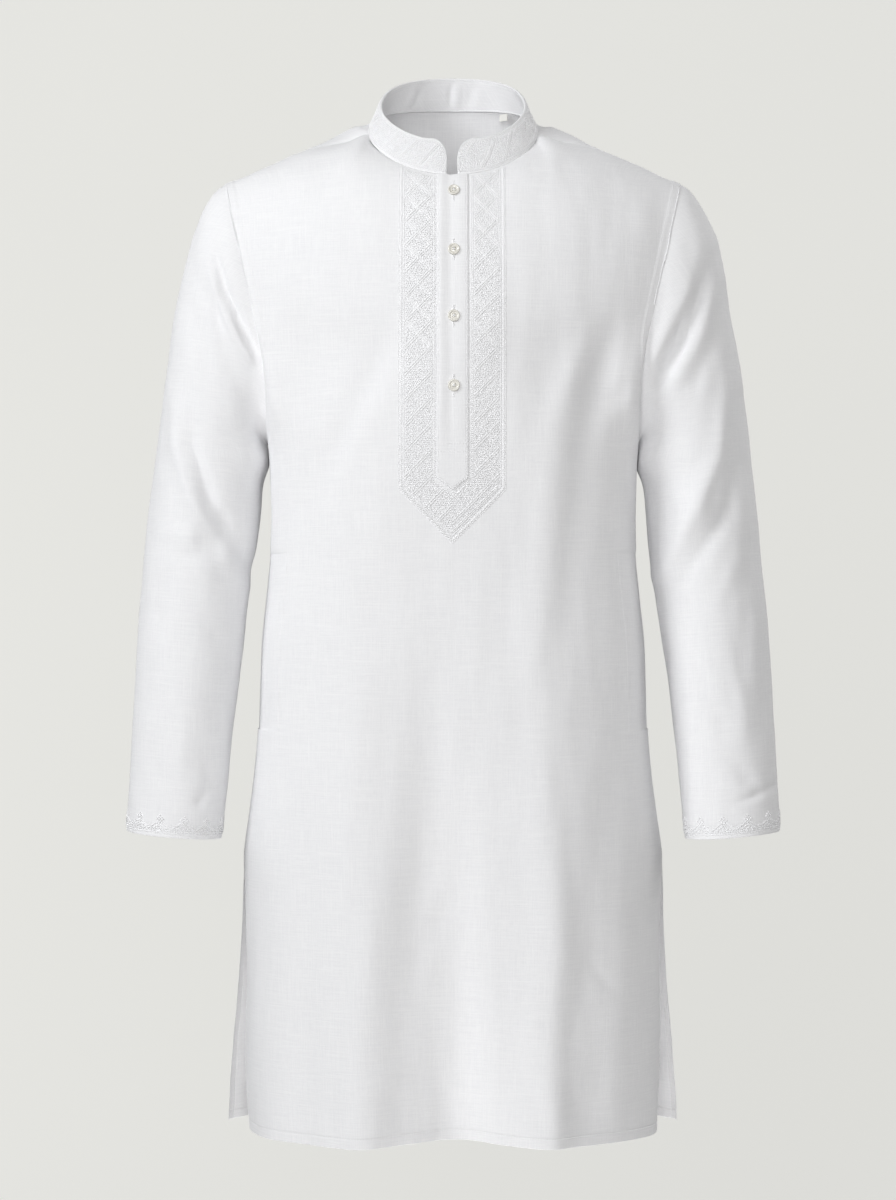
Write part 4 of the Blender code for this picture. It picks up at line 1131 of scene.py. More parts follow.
def placket_foot(x):
    """The lower edge of the placket's pointed end."""
    left, right = OVERLAP_X
    middle = (left + right) / 2
    return blend(POINT_TIP_Z, POINT_SHOULDER_Z, abs(x - middle) / (right - middle))


PLACKET_ROLLS = (           # place across, width and height of the soft rolls down the upper band
    (-0.0118, 0.0030, 0.0009), (-0.0028, 0.0026, -0.0008), (0.0072, 0.0035, 0.0004),
)
ROLLS_END_Z = -0.345     # where they end, and the height over which they fade
ROLLS_FADE = 0.05


@lru_cache(None)
def overlap_skin():
    """The placket's upper band, with its pointed end."""
    skin = band("linen_placket_overlap", OVERLAP_X, placket_foot, CLOTH + LAY_GAP)
    x, z = skin.points[..., 0], skin.points[..., 2]
    rolled = sum(height * swell(x - place, width) for place, width, height in PLACKET_ROLLS)
    fall = np.clip((z - ROLLS_END_Z) / ROLLS_FADE, 0.0, 1.0)
    normals = skin.normals
    skin.push(rolled * fall * (1 - swell(skin.from_side, PLACKET_CALM)))
    skin.normals = normals
    skin.soften(np.minimum(skin.from_side, skin.from_foot))
    skin.stitch_lines[..., 0] = skin.from_side - PLACKET_STITCH
    skin.stitch_lines[..., 1] = skin.from_foot - PLACKET_STITCH
    return skin


@lru_cache(None)
def underlap_skin():
    """The placket's under band, seen between the collar's ends."""
    return band("linen_placket_underlap", UNDERLAP_X, lambda x: PLACKET_SLOT_Z, -CLOTH - LAY_GAP)


FACING_RISE = 0.00065    # how far a pocket's strip rises in its mouth, near the mouth's top
FACING_FADE = 0.03       # the height over which it sinks back
FACING_START = 0.0012    # how far below the top it starts


@lru_cache(None)
def facing_skin(side):
    """The strip inside a pocket mouth."""
    host = panel_skin(True)
    row_cells, col_cells = host.cells
    last = len(panel_grid(True)[0]) - 2
    first, final = level_row(POCKET_TOP_Z) - 1, level_row(POCKET_BOTTOM_Z)
    rows = np.flatnonzero((row_cells >= first) & (row_cells <= final))
    cols = np.flatnonzero(col_cells >= last - POCKET_COLUMNS if side > 0 else col_cells <= POCKET_COLUMNS)
    rows, cols = slice(rows[0], rows[-1] + 2), slice(cols[0], cols[-1] + 1)
    name = "linen_pocket_facing_left" if side > 0 else "linen_pocket_facing_right"
    strip = host.part(name, rows, cols, -CLOTH - LAY_GAP)
    below = POCKET_TOP_Z - strip.points[..., 2]
    risen = np.where(below > FACING_START, FACING_RISE * swell(below, FACING_FADE), LAY_GAP - 0.00005)
    strip.push(host.thinned[rows, cols] + risen)
    return strip


# ------------------------------------------------------------------ stitches

# Pitch, length and width of the stitches in a line
TOPSTITCH = (0.0027, 0.0022, 0.00055)
HIDDEN_STITCH = (0.0027, 0.0018, 0.0004)     # where the stitching hardly shows
COLLAR_CORD = (0.0016, 0.0026, 0.0011)       # the raised seam under the collar
LINE = (0.0021, 0.0027, 0.0012)              # this one and the rest are embroidery
FINE_LINE = (0.0022, 0.0024, 0.0008)
ROPE = (0.0020, 0.0036, 0.0014)
DOTS = (0.0019, 0.0012, 0.0011)

STITCH_SIDES = 6
STITCH_RINGS = 3
STITCH_HEIGHT = 0.95     # a stitch's height as a share of its width
SINK = 0.32              # the share of a stitch's height by which its middle stands off the cloth
AHEAD = 0.0008           # how far ahead a stitch looks for its direction


def scatter(i, j):
    """A fixed uneven number from -1 to 1 for a place in a grid."""
    wave = math.sin(i * 12.9898 + j * 78.233) * 43758.5453
    return 2 * (wave - math.floor(wave)) - 1


class Threadwork:
    """Stitches gathered into one mesh; each is a small soft bead of thread drawn out along its way."""

    def __init__(self):
        self.places = []

    def stitch(self, spot, way, length, width, height=None):
        """One stitch at a spot, which is a point and the cloth's direction there."""
        point, normal = spot
        normal = normal.normalized()
        across = normal.cross(way).normalized()
        along = across.cross(normal)
        height = height or width * STITCH_HEIGHT
        turn = Matrix((across * width / 2, normal * height / 2, along * length / 2)).transposed().to_4x4()
        self.places.append(Matrix.Translation(point + normal * height * SINK) @ turn)

    def run(self, spots, pitch, length, width, slant=0.0, height=None):
        """Stitches at an even pitch along a line of spots, each turned by a slant in degrees."""
        done = 0.0
        due = pitch / 2
        for (a, na), (b, nb) in zip(spots, spots[1:]):
            step = (b - a).length
            while step > 0 and due <= done + step:
                t = (due - done) / step
                way = (b - a).normalized()
                normal = na.lerp(nb, t).normalized()
                if slant:
                    way = Matrix.Rotation(math.radians(slant), 3, normal) @ way
                self.stitch((a.lerp(b, t), normal), way, length, width, height)
                due += pitch
            done += step

    def topstitch(self, spots):
        """A line of machine stitching."""
        self.run(spots, *TOPSTITCH)

    def build(self, name, surface):
        """One bead, copied by doubling; then every copy is drawn out and laid in its place."""
        bm = bmesh.new()
        bmesh.ops.create_uvsphere(bm, u_segments=STITCH_SIDES, v_segments=STITCH_RINGS, radius=1.0)
        bead = bpy.data.meshes.new("bead")
        bm.to_mesh(bead)
        bm.free()
        bm = bmesh.new()
        bm.from_mesh(bead)
        for digit in bin(len(self.places))[3:]:
            so_far = bpy.data.meshes.new("beads")
            bm.to_mesh(so_far)
            bm.from_mesh(so_far)
            bpy.data.meshes.remove(so_far)
            if digit == "1":
                bm.from_mesh(bead)
        corners = [vert.co.copy() for vert in bead.vertices]
        bpy.data.meshes.remove(bead)
        bm.verts.ensure_lookup_table()
        for i, place in enumerate(self.places):
            for k, corner in enumerate(corners):
                bm.verts[i * len(corners) + k].co = place @ corner
        return add_piece(name, bm, surface)


KNOT = 0.0011            # across a knot, and across a petal or a leaf's stitch
LEAF_LENGTH = 0.0036
LEAF_HALF = 0.0007       # from a leaf's middle to each of its stitches
LEAF_TIP = 0.0031


class Embroidery(Threadwork):
    """Stitches on a ground, which is a way to find the spot at a width and a height."""

    CELL = 0.005

    def __init__(self, ground):
        super().__init__()
        self.ground = ground
        self.taken = {}

    def sew(self, u, v, angle, length, width, room=0.0014):
        """One stitch at a width and a height, turned by an angle, with no seed nearer than its room."""
        spot = self.ground(u, v)
        ahead = self.ground(u + AHEAD * math.cos(angle), v + AHEAD * math.sin(angle))[0]
        self.stitch(spot, ahead - spot[0], length, width)
        cell = (round(u / self.CELL), round(v / self.CELL))
        self.taken.setdefault(cell, []).append((u, v, room))

    def free(self, u, v):
        """Whether there is room for a seed."""
        i, j = round(u / self.CELL), round(v / self.CELL)
        near = [t for a, b in product((-1, 0, 1), repeat=2) for t in self.taken.get((i + a, j + b), ())]
        return all(math.hypot(u - tu, v - tv) > room for tu, tv, room in near)

    def path(self, places, pitch, length, width, slant=0.0, inside=None):
        """Stitches along straight legs, each turned by a slant in degrees, where they lie inside."""
        for (ua, va), (ub, vb) in zip(places, places[1:]):
            count = max(1, round(math.hypot(ub - ua, vb - va) / pitch))
            angle = math.atan2(vb - va, ub - ua) + math.radians(slant)
            for i in range(count):
                u, v = blend(ua, ub, (i + 0.5) / count), blend(va, vb, (i + 0.5) / count)
                if inside is None or inside(u, v):
                    self.sew(u, v, angle, length, width)

    def flower(self, u, v, petals, reach, size=KNOT):
        """A small flower of stitches round a knot."""
        self.sew(u, v, 0.0, size * 1.2, size * 1.2)
        for i in range(petals):
            angle = math.tau * (i + 0.5) / petals
            pu, pv = u + reach * math.cos(angle), v + reach * math.sin(angle)
            self.sew(pu, pv, angle, size * 2.0, size)

    def leaf(self, u, v, angle):
        """A teardrop of two stitches with a knot at its tip."""
        for side in (-1, 1):
            away = angle + side * math.pi / 2
            place = (u + LEAF_HALF * math.cos(away), v + LEAF_HALF * math.sin(away))
            self.sew(*place, angle - side * 0.3, LEAF_LENGTH, KNOT)
        self.sew(u + LEAF_TIP * math.cos(angle), v + LEAF_TIP * math.sin(angle), 0.0, KNOT, KNOT)

    def seeds(self, u0, u1, v0, v1, inside, pitch=0.0020, size=0.0012):
        """Fills what is still free with small round stitches."""
        for i in range(int((u1 - u0) / pitch) + 1):
            for j in range(int((v1 - v0) / pitch) + 1):
                u = u0 + pitch * (i + 0.5 * (j % 2) + 0.22 * scatter(i, j))
                v = v0 + pitch * (j + 0.22 * scatter(j, i + 7))
                if inside(u, v) and self.free(u, v):
                    self.sew(u, v, math.pi * scatter(i + 3, j), size * 1.25, size)


class Relief:
    """The front seen from the front: the spot on it at a width and a height."""

    STEP = 0.002

    def __init__(self, host, x0, x1, z0, z1):
        self.x0, self.z0 = x0, z0
        xs = np.arange(x0, x1 + self.STEP, self.STEP)
        zs = np.arange(z0, z1 + self.STEP, self.STEP)
        self.fields = np.stack([np.concatenate(host.column_at(x, zs), axis=1) for x in xs])

    def at(self, x, z):
        """The point and direction at a place in the front view."""
        i = min(max((x - self.x0) / self.STEP, 0.0), self.fields.shape[0] - 1.001)
        j = min(max((z - self.z0) / self.STEP, 0.0), self.fields.shape[1] - 1.001)
        a, b = int(i), int(j)
        low = blend(self.fields[a, b], self.fields[a + 1, b], i - a)
        high = blend(self.fields[a, b + 1], self.fields[a + 1, b + 1], i - a)
        found = blend(low, high, j - b)
        return Vector(found[:3]), Vector(found[3:])


@lru_cache(None)
def front_relief():
    """The front panel from below the bib up to the neck."""
    return Relief(panel_skin(True), -0.062, 0.062, -0.44, -0.03)


@lru_cache(None)
def overlap_relief():
    """The placket's upper band."""
    return Relief(overlap_skin(), OVERLAP_X[0] + 0.0003, OVERLAP_X[1] - 0.0003, POINT_TIP_Z, -0.05)


# The embroidered bib round the placket
BIB_LEFT = -0.0503       # the middle of the rope border
BIB_RIGHT = 0.0482
BIB_CORNER_Z = -0.3715
BIB_TIP_Z = -0.4212
BIB_TIP_X = (BIB_LEFT + BIB_RIGHT) / 2
BIB_HALF = (BIB_RIGHT - BIB_LEFT) / 2
FIELD_MIDDLES = (-0.0332, 0.0304)
FIELD_HALF = 0.0140
DIAMOND_WIDTH = 0.0240
DIAMOND_HEIGHT = 0.0247
FIRST_DIAMOND_Z = -0.0881
LATTICE_END_Z = -0.236
DIAMONDS = 14
LATTICE_REACH = 0.034    # how far each leg of the lattice runs to either side
BIB_TOP_Z = -0.055
BIB_EDGE = 0.0044        # how far inside the rope's middle the lattice and the seeds end
ROPE_SLANT = 52.0
DOUBLE = 0.0010          # half the space between the two lines of a pair


def in_bib(x, z, margin, top=None):
    """Whether a place lies in the bib's embroidered field."""
    if not BIB_LEFT + margin < x < BIB_RIGHT - margin:
        return False
    if z < blend(BIB_TIP_Z, BIB_CORNER_Z, abs(x - BIB_TIP_X) / BIB_HALF) + margin * 1.4:
        return False
    if z > band_top(x, top) - 0.0025:
        return False
    left, right = OVERLAP_X
    beside = x < left - 0.0040 or x > right + 0.0056
    return beside or z < placket_foot(x) - 0.0050


def lattice_part(middle, sign):
    """Where a leg of the lattice is sewn: in its own half, and one way only above the lattice's end."""
    def inside(x, z):
        ours = (x < BIB_TIP_X) == (middle < BIB_TIP_X)
        return ours and (sign > 0 or z > LATTICE_END_Z) and in_bib(x, z, BIB_EDGE)
    return inside


def outline_bib(work):
    """The rope round the bib with a line on either side, and the lines down the placket."""
    for inset, kind, slant in ((0.0, ROPE, ROPE_SLANT), (-0.0019, FINE_LINE, 0.0), (0.0030, FINE_LINE, 0.0)):
        left, right, shoulder = BIB_LEFT + inset, BIB_RIGHT - inset, BIB_CORNER_Z + inset * 0.5
        corners = (
            (left, band_top(left) - 0.002), (left, shoulder), (BIB_TIP_X, BIB_TIP_Z + inset * 1.45),
            (right, shoulder), (right, band_top(right) - 0.002),
        )
        work.path(corners, *kind, slant)
    left, right = OVERLAP_X
    for x, kind in (
        (left - 0.0018, DOTS), (left - 0.0033, FINE_LINE), (right + 0.0036, DOTS), (right + 0.0050, FINE_LINE)
    ):
        work.path(((x, band_top(x) - 0.002), (x, POINT_SHOULDER_Z)), *kind)


def embroider_bib():
    """The bib: rope border, inner lines, lattice, flowers, leaves and seeds."""
    work = Embroidery(front_relief().at)
    outline_bib(work)

    def inner(x, z):
        return in_bib(x, z, BIB_EDGE)

    for inset in (0.0075, 0.0095):
        legs = ((BIB_TIP_X, BIB_TIP_Z + inset), (BIB_RIGHT - 0.006, BIB_CORNER_Z + inset - 0.007))
        work.path(legs, *LINE, 0.0, inner)

    slope = DIAMOND_HEIGHT / DIAMOND_WIDTH
    apart = DOUBLE * math.hypot(1.0, slope)
    for middle, k, sign, offset in product(FIELD_MIDDLES, range(-2, DIAMONDS + 3), (1, -1), (-apart, apart)):
        node = FIRST_DIAMOND_Z - DIAMOND_HEIGHT * (k - 0.5) + offset
        legs = [(middle + d, node + sign * slope * d) for d in (-LATTICE_REACH, LATTICE_REACH)]
        work.path(legs, *LINE, 0.0, lattice_part(middle, sign))
    for middle, k in product(FIELD_MIDDLES, range(DIAMONDS)):
        z = FIRST_DIAMOND_Z - DIAMOND_HEIGHT * k
        latticed = z > LATTICE_END_Z - 0.01
        if in_bib(middle, z, 0.006):
            work.flower(middle, z, 8 if latticed else 6, 0.0028)
        for side in (-1, 1):
            place = (middle + side * FIELD_HALF * 0.66, z - DIAMOND_HEIGHT / 2)
            if in_bib(*place, 0.004):
                work.leaf(*place, math.radians(90 if latticed else 62))
    work.seeds(BIB_LEFT, BIB_RIGHT, BIB_TIP_Z, BIB_TOP_Z, inner)
    return work


# The embroidery of the collar and the cuffs; heights are from the free edge
COLLAR_MOTIF = 0.0205    # from one pair of diagonals to the next
DIAGONAL_REACH = 0.022   # how far a diagonal runs along the collar
# Rows of stitches: how far from the rim, how far from the seam, and whether a line or dots
COLLAR_ROWS_SEWN = ((0.0027, 0.0022, True), (0.0043, 0.0038, False))
COLLAR_DOT = (0.0013, 0.0012)
CUFF_MOTIF = 0.0235
CUFF_LINE = 0.0044
PEAK_DIAMOND = 0.0178    # the middle of the diamond on a peak
# The two lines on each side of a peak: each end's distance from its middle, and height
PEAK_LINES = (((0.0036, 0.0138), (0.0115, 0.0080)), ((0.0012, 0.0118), (0.0068, 0.0078)))


def embroider_collar():
    """The collar: lines and dots along its edges, pairs of diagonals, flowers and seeds."""
    skin = collar_skin()
    work = Embroidery(skin.spot)
    width = skin.across[-1, -1]
    count = round(width / 0.0024)
    dots = [width * (i + 0.5) / count for i in range(count)]
    for near_foot, edge, lined in COLLAR_ROWS_SEWN:
        for a, b in zip(dots, dots[1:]):
            if not 0.004 < a < width - 0.005:
                continue
            for ha, hb in ((near_foot, near_foot), (skin.tall(a) - edge, skin.tall(b) - edge)):
                if lined:
                    work.path(((a, ha), (b, hb)), *FINE_LINE)
                else:
                    work.sew(a, ha, 0.0, *COLLAR_DOT)
    for s in (0.0030, width - 0.0030):
        work.path(((s, 0.0035), (s, skin.tall(s) - 0.0022)), *FINE_LINE)

    def inner(s, h):
        return 0.0045 < s < width - 0.0045 and 0.0056 < h < skin.tall(s) - 0.0052

    for k in range(-1, int(width / COLLAR_MOTIF) + 1):
        s = COLLAR_MOTIF * (k + 0.62)
        tall = skin.tall(min(max(s, 0.0), width))
        for start in (s - DOUBLE, s + DOUBLE):
            work.path(((start, tall), (start + DIAGONAL_REACH, 0.0)), *LINE, 0.0, inner)
        if inner(s + DIAGONAL_REACH, tall / 2):
            middle = s + 0.0215
            work.flower(middle, tall / 2, 7, 0.0029)
            for side in (-1, 1):
                h = tall / 2 - 0.0055 * side
                if inner(middle + 0.0052 * side, h):
                    work.leaf(middle + 0.0048 * side, h, math.radians(-60))
    work.seeds(0.0, width, 0.0, skin.from_foot.max(), inner)
    return work


def embroider_cuff(side):
    """A cuff: a fine line, a band of seeds and a row of small peaks, each with a diamond on top."""
    skin = sleeve_skin(side)
    work = Embroidery(skin.spot)
    girth = skin.across[-1, -1]
    count = round(girth / CUFF_MOTIF)
    pitch = girth / count
    work.path(((0.0, CUFF_LINE), (girth, CUFF_LINE)), *FINE_LINE)
    for k in range(count):
        s = (k + 0.5) * pitch
        for i, j in product((-1, 0, 1), repeat=2):
            place = (s + 0.0016 * (i - j), PEAK_DIAMOND + 0.0017 * (i + j))
            work.sew(*place, 0.8 if i == j else -0.8, 0.0021, 0.0017)
        for out, ends in product((-1, 1), PEAK_LINES):
            work.path([(s + out * away, height) for away, height in ends], *LINE)

    def inside(s, h):
        return 0.0052 < h < 0.0106 + 0.0062 * (1 - abs(2 * (s / pitch % 1.0) - 1))

    work.seeds(0.0, girth, 0.0045, 0.016, inside, pitch=girth / round(girth / 0.0019), size=0.0013)
    return work


def under(spots, wall):
    """Spots on the other face of a wall."""
    return [(point - normal * wall, -normal) for point, normal in spots]


def topstitch_panel(front):
    """The stitching of the hem, the slits, and on the front the armholes, shoulders and pockets."""
    skin = panel_skin(front)
    work = Threadwork()
    sides = (skin.across, skin.across[:, -1:] - skin.across)
    hem = skin.line(skin.from_foot, HEM_TURN, False)
    slits = [skin.line(side, SLIT_TURN, True, lambda p: p.z < SLIT_TOP_Z + 0.008) for side in sides]
    for line in (hem, *slits):
        work.topstitch(line)
    if not front:
        for line in (*slits, hem):
            work.topstitch(under(line, CLOTH))
        return work
    for side in sides:
        work.run(skin.line(side, ARM_STITCH, True, lambda p: p.z > ARMPIT_Z + 0.004), *HIDDEN_STITCH)
    for side in (-1, 1):
        line = skin.line(skin.down, SHOULDER_STITCH, False, lambda p: p.x * side > 0.060)
        work.run(line, *HIDDEN_STITCH)
    ends = [int(np.searchsorted(skin.cells[0], level_row(z))) for z in (POCKET_TOP_Z, POCKET_BOTTOM_Z)]
    mouth = mouth_column(skin)
    for col in (mouth, skin.points.shape[1] - 1 - mouth):
        work.topstitch([skin.place(row, col) for row in range(ends[0], ends[1] + 1)])
    return work


BESIDE_PLACKET = (0.0011, 0.0028)        # the lines on the front beside the placket
BUTTONHOLE_HALF = 0.00055
BUTTONHOLE_START = 0.0060                # from the button's middle
BUTTONHOLE_END = 0.0102


def stitch_placket():
    """The stitching along the placket, the lines beside it and the ends of its buttonholes."""
    skin = overlap_skin()
    work = Threadwork()
    for field in (skin.across, skin.across[:, -1:] - skin.across):
        work.topstitch(skin.line(field, PLACKET_STITCH, True))
    work.topstitch(skin.line(skin.from_foot, PLACKET_STITCH, False))
    relief = overlap_relief()
    for z in BOX_STITCH_Z:
        work.topstitch([relief.at(blend(*OVERLAP_X, 0.06 + 0.88 * i / 20), z) for i in range(21)])
    left, right = OVERLAP_X
    front = front_relief()
    for gap in BESIDE_PLACKET:
        corners = (
            (right + gap, band_top(right) - 0.001), (right + gap, POINT_SHOULDER_Z - gap * 0.4),
            ((left + right) / 2, POINT_TIP_Z - gap * 1.25), (left - gap * 0.8, POINT_SHOULDER_Z - gap * 0.4),
        )
        for (xa, za), (xb, zb) in zip(corners, corners[1:]):
            work.topstitch([front.at(blend(xa, xb, i / 60), blend(za, zb, i / 60)) for i in range(61)])
    level = Vector((1, 0, 0))
    for z, side in product(BUTTON_Z, (-1, 1)):
        for i, x in product(range(7), (-BUTTONHOLE_HALF, BUTTONHOLE_HALF)):
            height = z + side * (BUTTONHOLE_START + 0.0006 * i)
            work.stitch(relief.at(BUTTON_X + x, height), level, 0.0012, 0.0006)
        work.stitch(relief.at(BUTTON_X, z + side * BUTTONHOLE_END), level, 0.0024, 0.0008)
    return work


def stitch_collar():
    """The stitching of the collar: its rim and ends, and its seam inside and out."""
    skin = collar_skin()
    work = Threadwork()
    work.topstitch(skin.line(skin.from_foot, COLLAR_STITCH, False))
    work.run(skin.line(skin.down, 0.0003, False), *COLLAR_CORD)
    for field, away in ((skin.down, 0.0012), (skin.from_foot, 0.0020)):
        work.topstitch(under(skin.line(field, away, False), COLLAR_CLOTH))
    return work


BUTTON_PROFILE = (       # distance from the middle and height above the placket
    (0.0, 0.0), (0.0042, 0.0), (0.0054, 0.0005), (0.0058, 0.0012), (0.0056, 0.0019), (0.0050, 0.00235),
    (0.0044, 0.0023), (0.0039, 0.0019), (0.0034, 0.0015), (0.0028, 0.00145), (0.0023, 0.0017),
    (0.0012, 0.0018), (0.0, 0.0018),
)
BUTTON_STEPS = 28
BUTTON_LIFT = 0.00015    # off the placket
HOLE_SPACE = 0.00105     # from a button's middle to its holes, each way
HOLE_RADIUS = 0.00045
HOLE_Z = 0.00155         # the middle of a hole's shadow, which ends just above the button's middle
HOLE_DEPTH = 0.00056
THREAD_Z = 0.0019
THREAD_SHIFT = 0.0002    # from the middle of a pair of threads to each of them


def add_button(number, pearl, dark, cotton):
    """A pearl button with a raised rim, four holes holding painted shadow, and its thread."""
    point, normal = overlap_relief().at(BUTTON_X, BUTTON_Z[number - 1])
    normal.normalize()
    side = Vector((1, 0, 0)) - normal * normal.x
    side.normalize()
    turn = Matrix((side, normal.cross(side), normal)).transposed().to_4x4()
    place = Matrix.Translation(point + normal * BUTTON_LIFT) @ turn
    bm = turned(BUTTON_PROFILE, BUTTON_STEPS)
    bmesh.ops.remove_doubles(bm, verts=bm.verts[:], dist=2 * MERGE)
    bmesh.ops.recalc_face_normals(bm, faces=bm.faces[:])
    bmesh.ops.transform(bm, matrix=place, verts=bm.verts[:])
    button = add_piece(f"pearl_button_{number}", bm, pearl)
    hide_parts(f"button_{number}")
    # Painted shadow: a small dark cone in each of the four holes
    bm = bmesh.new()
    for x, y in ((-1, -1), (-1, 1), (1, 1), (1, -1)):
        at = Matrix.Translation((x * HOLE_SPACE, y * HOLE_SPACE, HOLE_Z))
        bmesh.ops.create_cone(
            bm, cap_ends=True, segments=10, radius1=HOLE_RADIUS, radius2=HOLE_RADIUS, depth=HOLE_DEPTH,
            matrix=place @ at,
        )
    add_piece(f"button_hole_shadows_{number}", bm, dark)
    thread = Threadwork()
    for turned_by, shift in product((45, -45), (-THREAD_SHIFT, THREAD_SHIFT)):
        way = Matrix.Rotation(math.radians(turned_by), 3, normal) @ side
        top = point + normal * THREAD_Z + normal.cross(way) * shift
        thread.stitch((top, normal), way, 0.0033, 0.0005, 0.0007)
    thread.build(f"button_thread_{number}", cotton)


# ------------------------------------------------------------------ materials

def linear(hex_colour):
    """An sRGB hex colour as linear red, green and blue."""
    parts = [int(hex_colour[i:i + 2], 16) / 255 for i in (1, 3, 5)]
    return tuple(p / 12.92 if p <= 0.04045 else ((p + 0.055) / 1.055) ** 2.4 for p in parts)


def darker(colour, share):
    """A linear colour with a share of its light."""
    return tuple(share * c for c in colour)


def feed(tree, node, inputs):
    """Sets a node's inputs, each to a value or to another node's output."""
    for name, value in inputs.items():
        if isinstance(value, bpy.types.NodeSocket):
            tree.links.new(value, node.inputs[name])
        else:
            node.inputs[name].default_value = value


def add_node(tree, kind, inputs=None, **settings):
    """Adds a shader node with its settings, values and links, and hands back its outputs."""
    made = tree.nodes.new(kind)
    for name, value in settings.items():
        setattr(made, name, value)
    feed(tree, made, inputs or {})
    return made.outputs


def new_material(name):
    """A material with its node tree and its one shader."""
    made = bpy.data.materials.new(name)
    made.use_nodes = True
    return made, made.node_tree, made.node_tree.nodes["Principled BSDF"]


def two_tone(name, finish, colours, kind, pattern, relief=0.0, **settings):
    """A finish whose tone, and whose fine relief, follow one pattern on Object coordinates."""
    made, tree, shader = new_material(name)
    place = add_node(tree, "ShaderNodeTexCoord")["Object"]
    height = add_node(tree, kind, {"Vector": place, **pattern}, **settings)[0]
    dark, light = ((*colour, 1.0) for colour in colours)
    tone = add_node(tree, "ShaderNodeMix", {0: height, 6: dark, 7: light}, data_type="RGBA")
    feed(tree, shader, {**finish, "Base Color": tone[2]})
    if relief:
        bump = add_node(tree, "ShaderNodeBump", {"Strength": relief, "Distance": 0.0001, "Height": height})
        feed(tree, shader, {"Normal": bump[0]})
    return made


def streaks(tree, place, across, along, seed):
    """Uneven threads as a height from 0 to 1: across and along are a thread's size in metres."""
    scale = (1 / across, 1 / along, 1)
    place = {"Vector": place, "Location": (seed, seed * 1.7, 0), "Scale": scale}
    wave = {"Vector": add_node(tree, "ShaderNodeMapping", place)[0], "Scale": 1.0, "Detail": 1.5}
    return add_node(tree, "ShaderNodeTexNoise", wave, noise_dimensions="2D")[0]


# Across, along and seed of the linen's slubs, and the same with a share of the height for its threads
SLUBS = ((0.0018, 0.045, 23.0), (0.050, 0.0018, 29.0))
THREADS = (
    (0.0011, 0.030, 1.0, 1.0), (0.034, 0.0011, 7.0, 1.0),
    (0.0007, 0.006, 13.0, 0.7), (0.006, 0.0007, 19.0, 0.7),
)
SLUB_SHARE = 0.5
GROOVE_WIDTH = 0.0016    # from the middle of a line of stitches to where its groove ends
GROOVE_DEPTH = 0.0005
WEAVE_DEPTH = 0.0003


def linen_height(tree, place):
    """The height of the weave: slubs, and thick and thin threads both ways."""
    slubs = 0.0
    for across, along, seed in SLUBS:
        slub = streaks(tree, place, across, along, seed)
        slubs = add_node(tree, "ShaderNodeMath", {0: slub, 1: slubs}, operation="MAXIMUM")[0]
    slubs = add_node(tree, "ShaderNodeMapRange", {0: slubs, 1: 0.62, 2: 0.80})[0]
    height = add_node(tree, "ShaderNodeMath", {0: slubs, 1: SLUB_SHARE}, operation="MULTIPLY")[0]
    for across, along, seed, share in THREADS:
        thread = streaks(tree, place, across, along, seed)
        added = {0: thread, 1: share, 2: height}
        height = add_node(tree, "ShaderNodeMath", added, operation="MULTIPLY_ADD")[0]
    return height


def nearest_line(tree):
    """How far it is to the nearest line of stitches."""
    lines = add_node(tree, "ShaderNodeAttribute", attribute_name="stitch_lines")["Vector"]
    nearest = FAR
    for line in add_node(tree, "ShaderNodeSeparateXYZ", {0: lines}):
        away = add_node(tree, "ShaderNodeMath", {0: line}, operation="ABSOLUTE")[0]
        nearest = add_node(tree, "ShaderNodeMath", {0: away, 1: nearest}, operation="MINIMUM")[0]
    return nearest


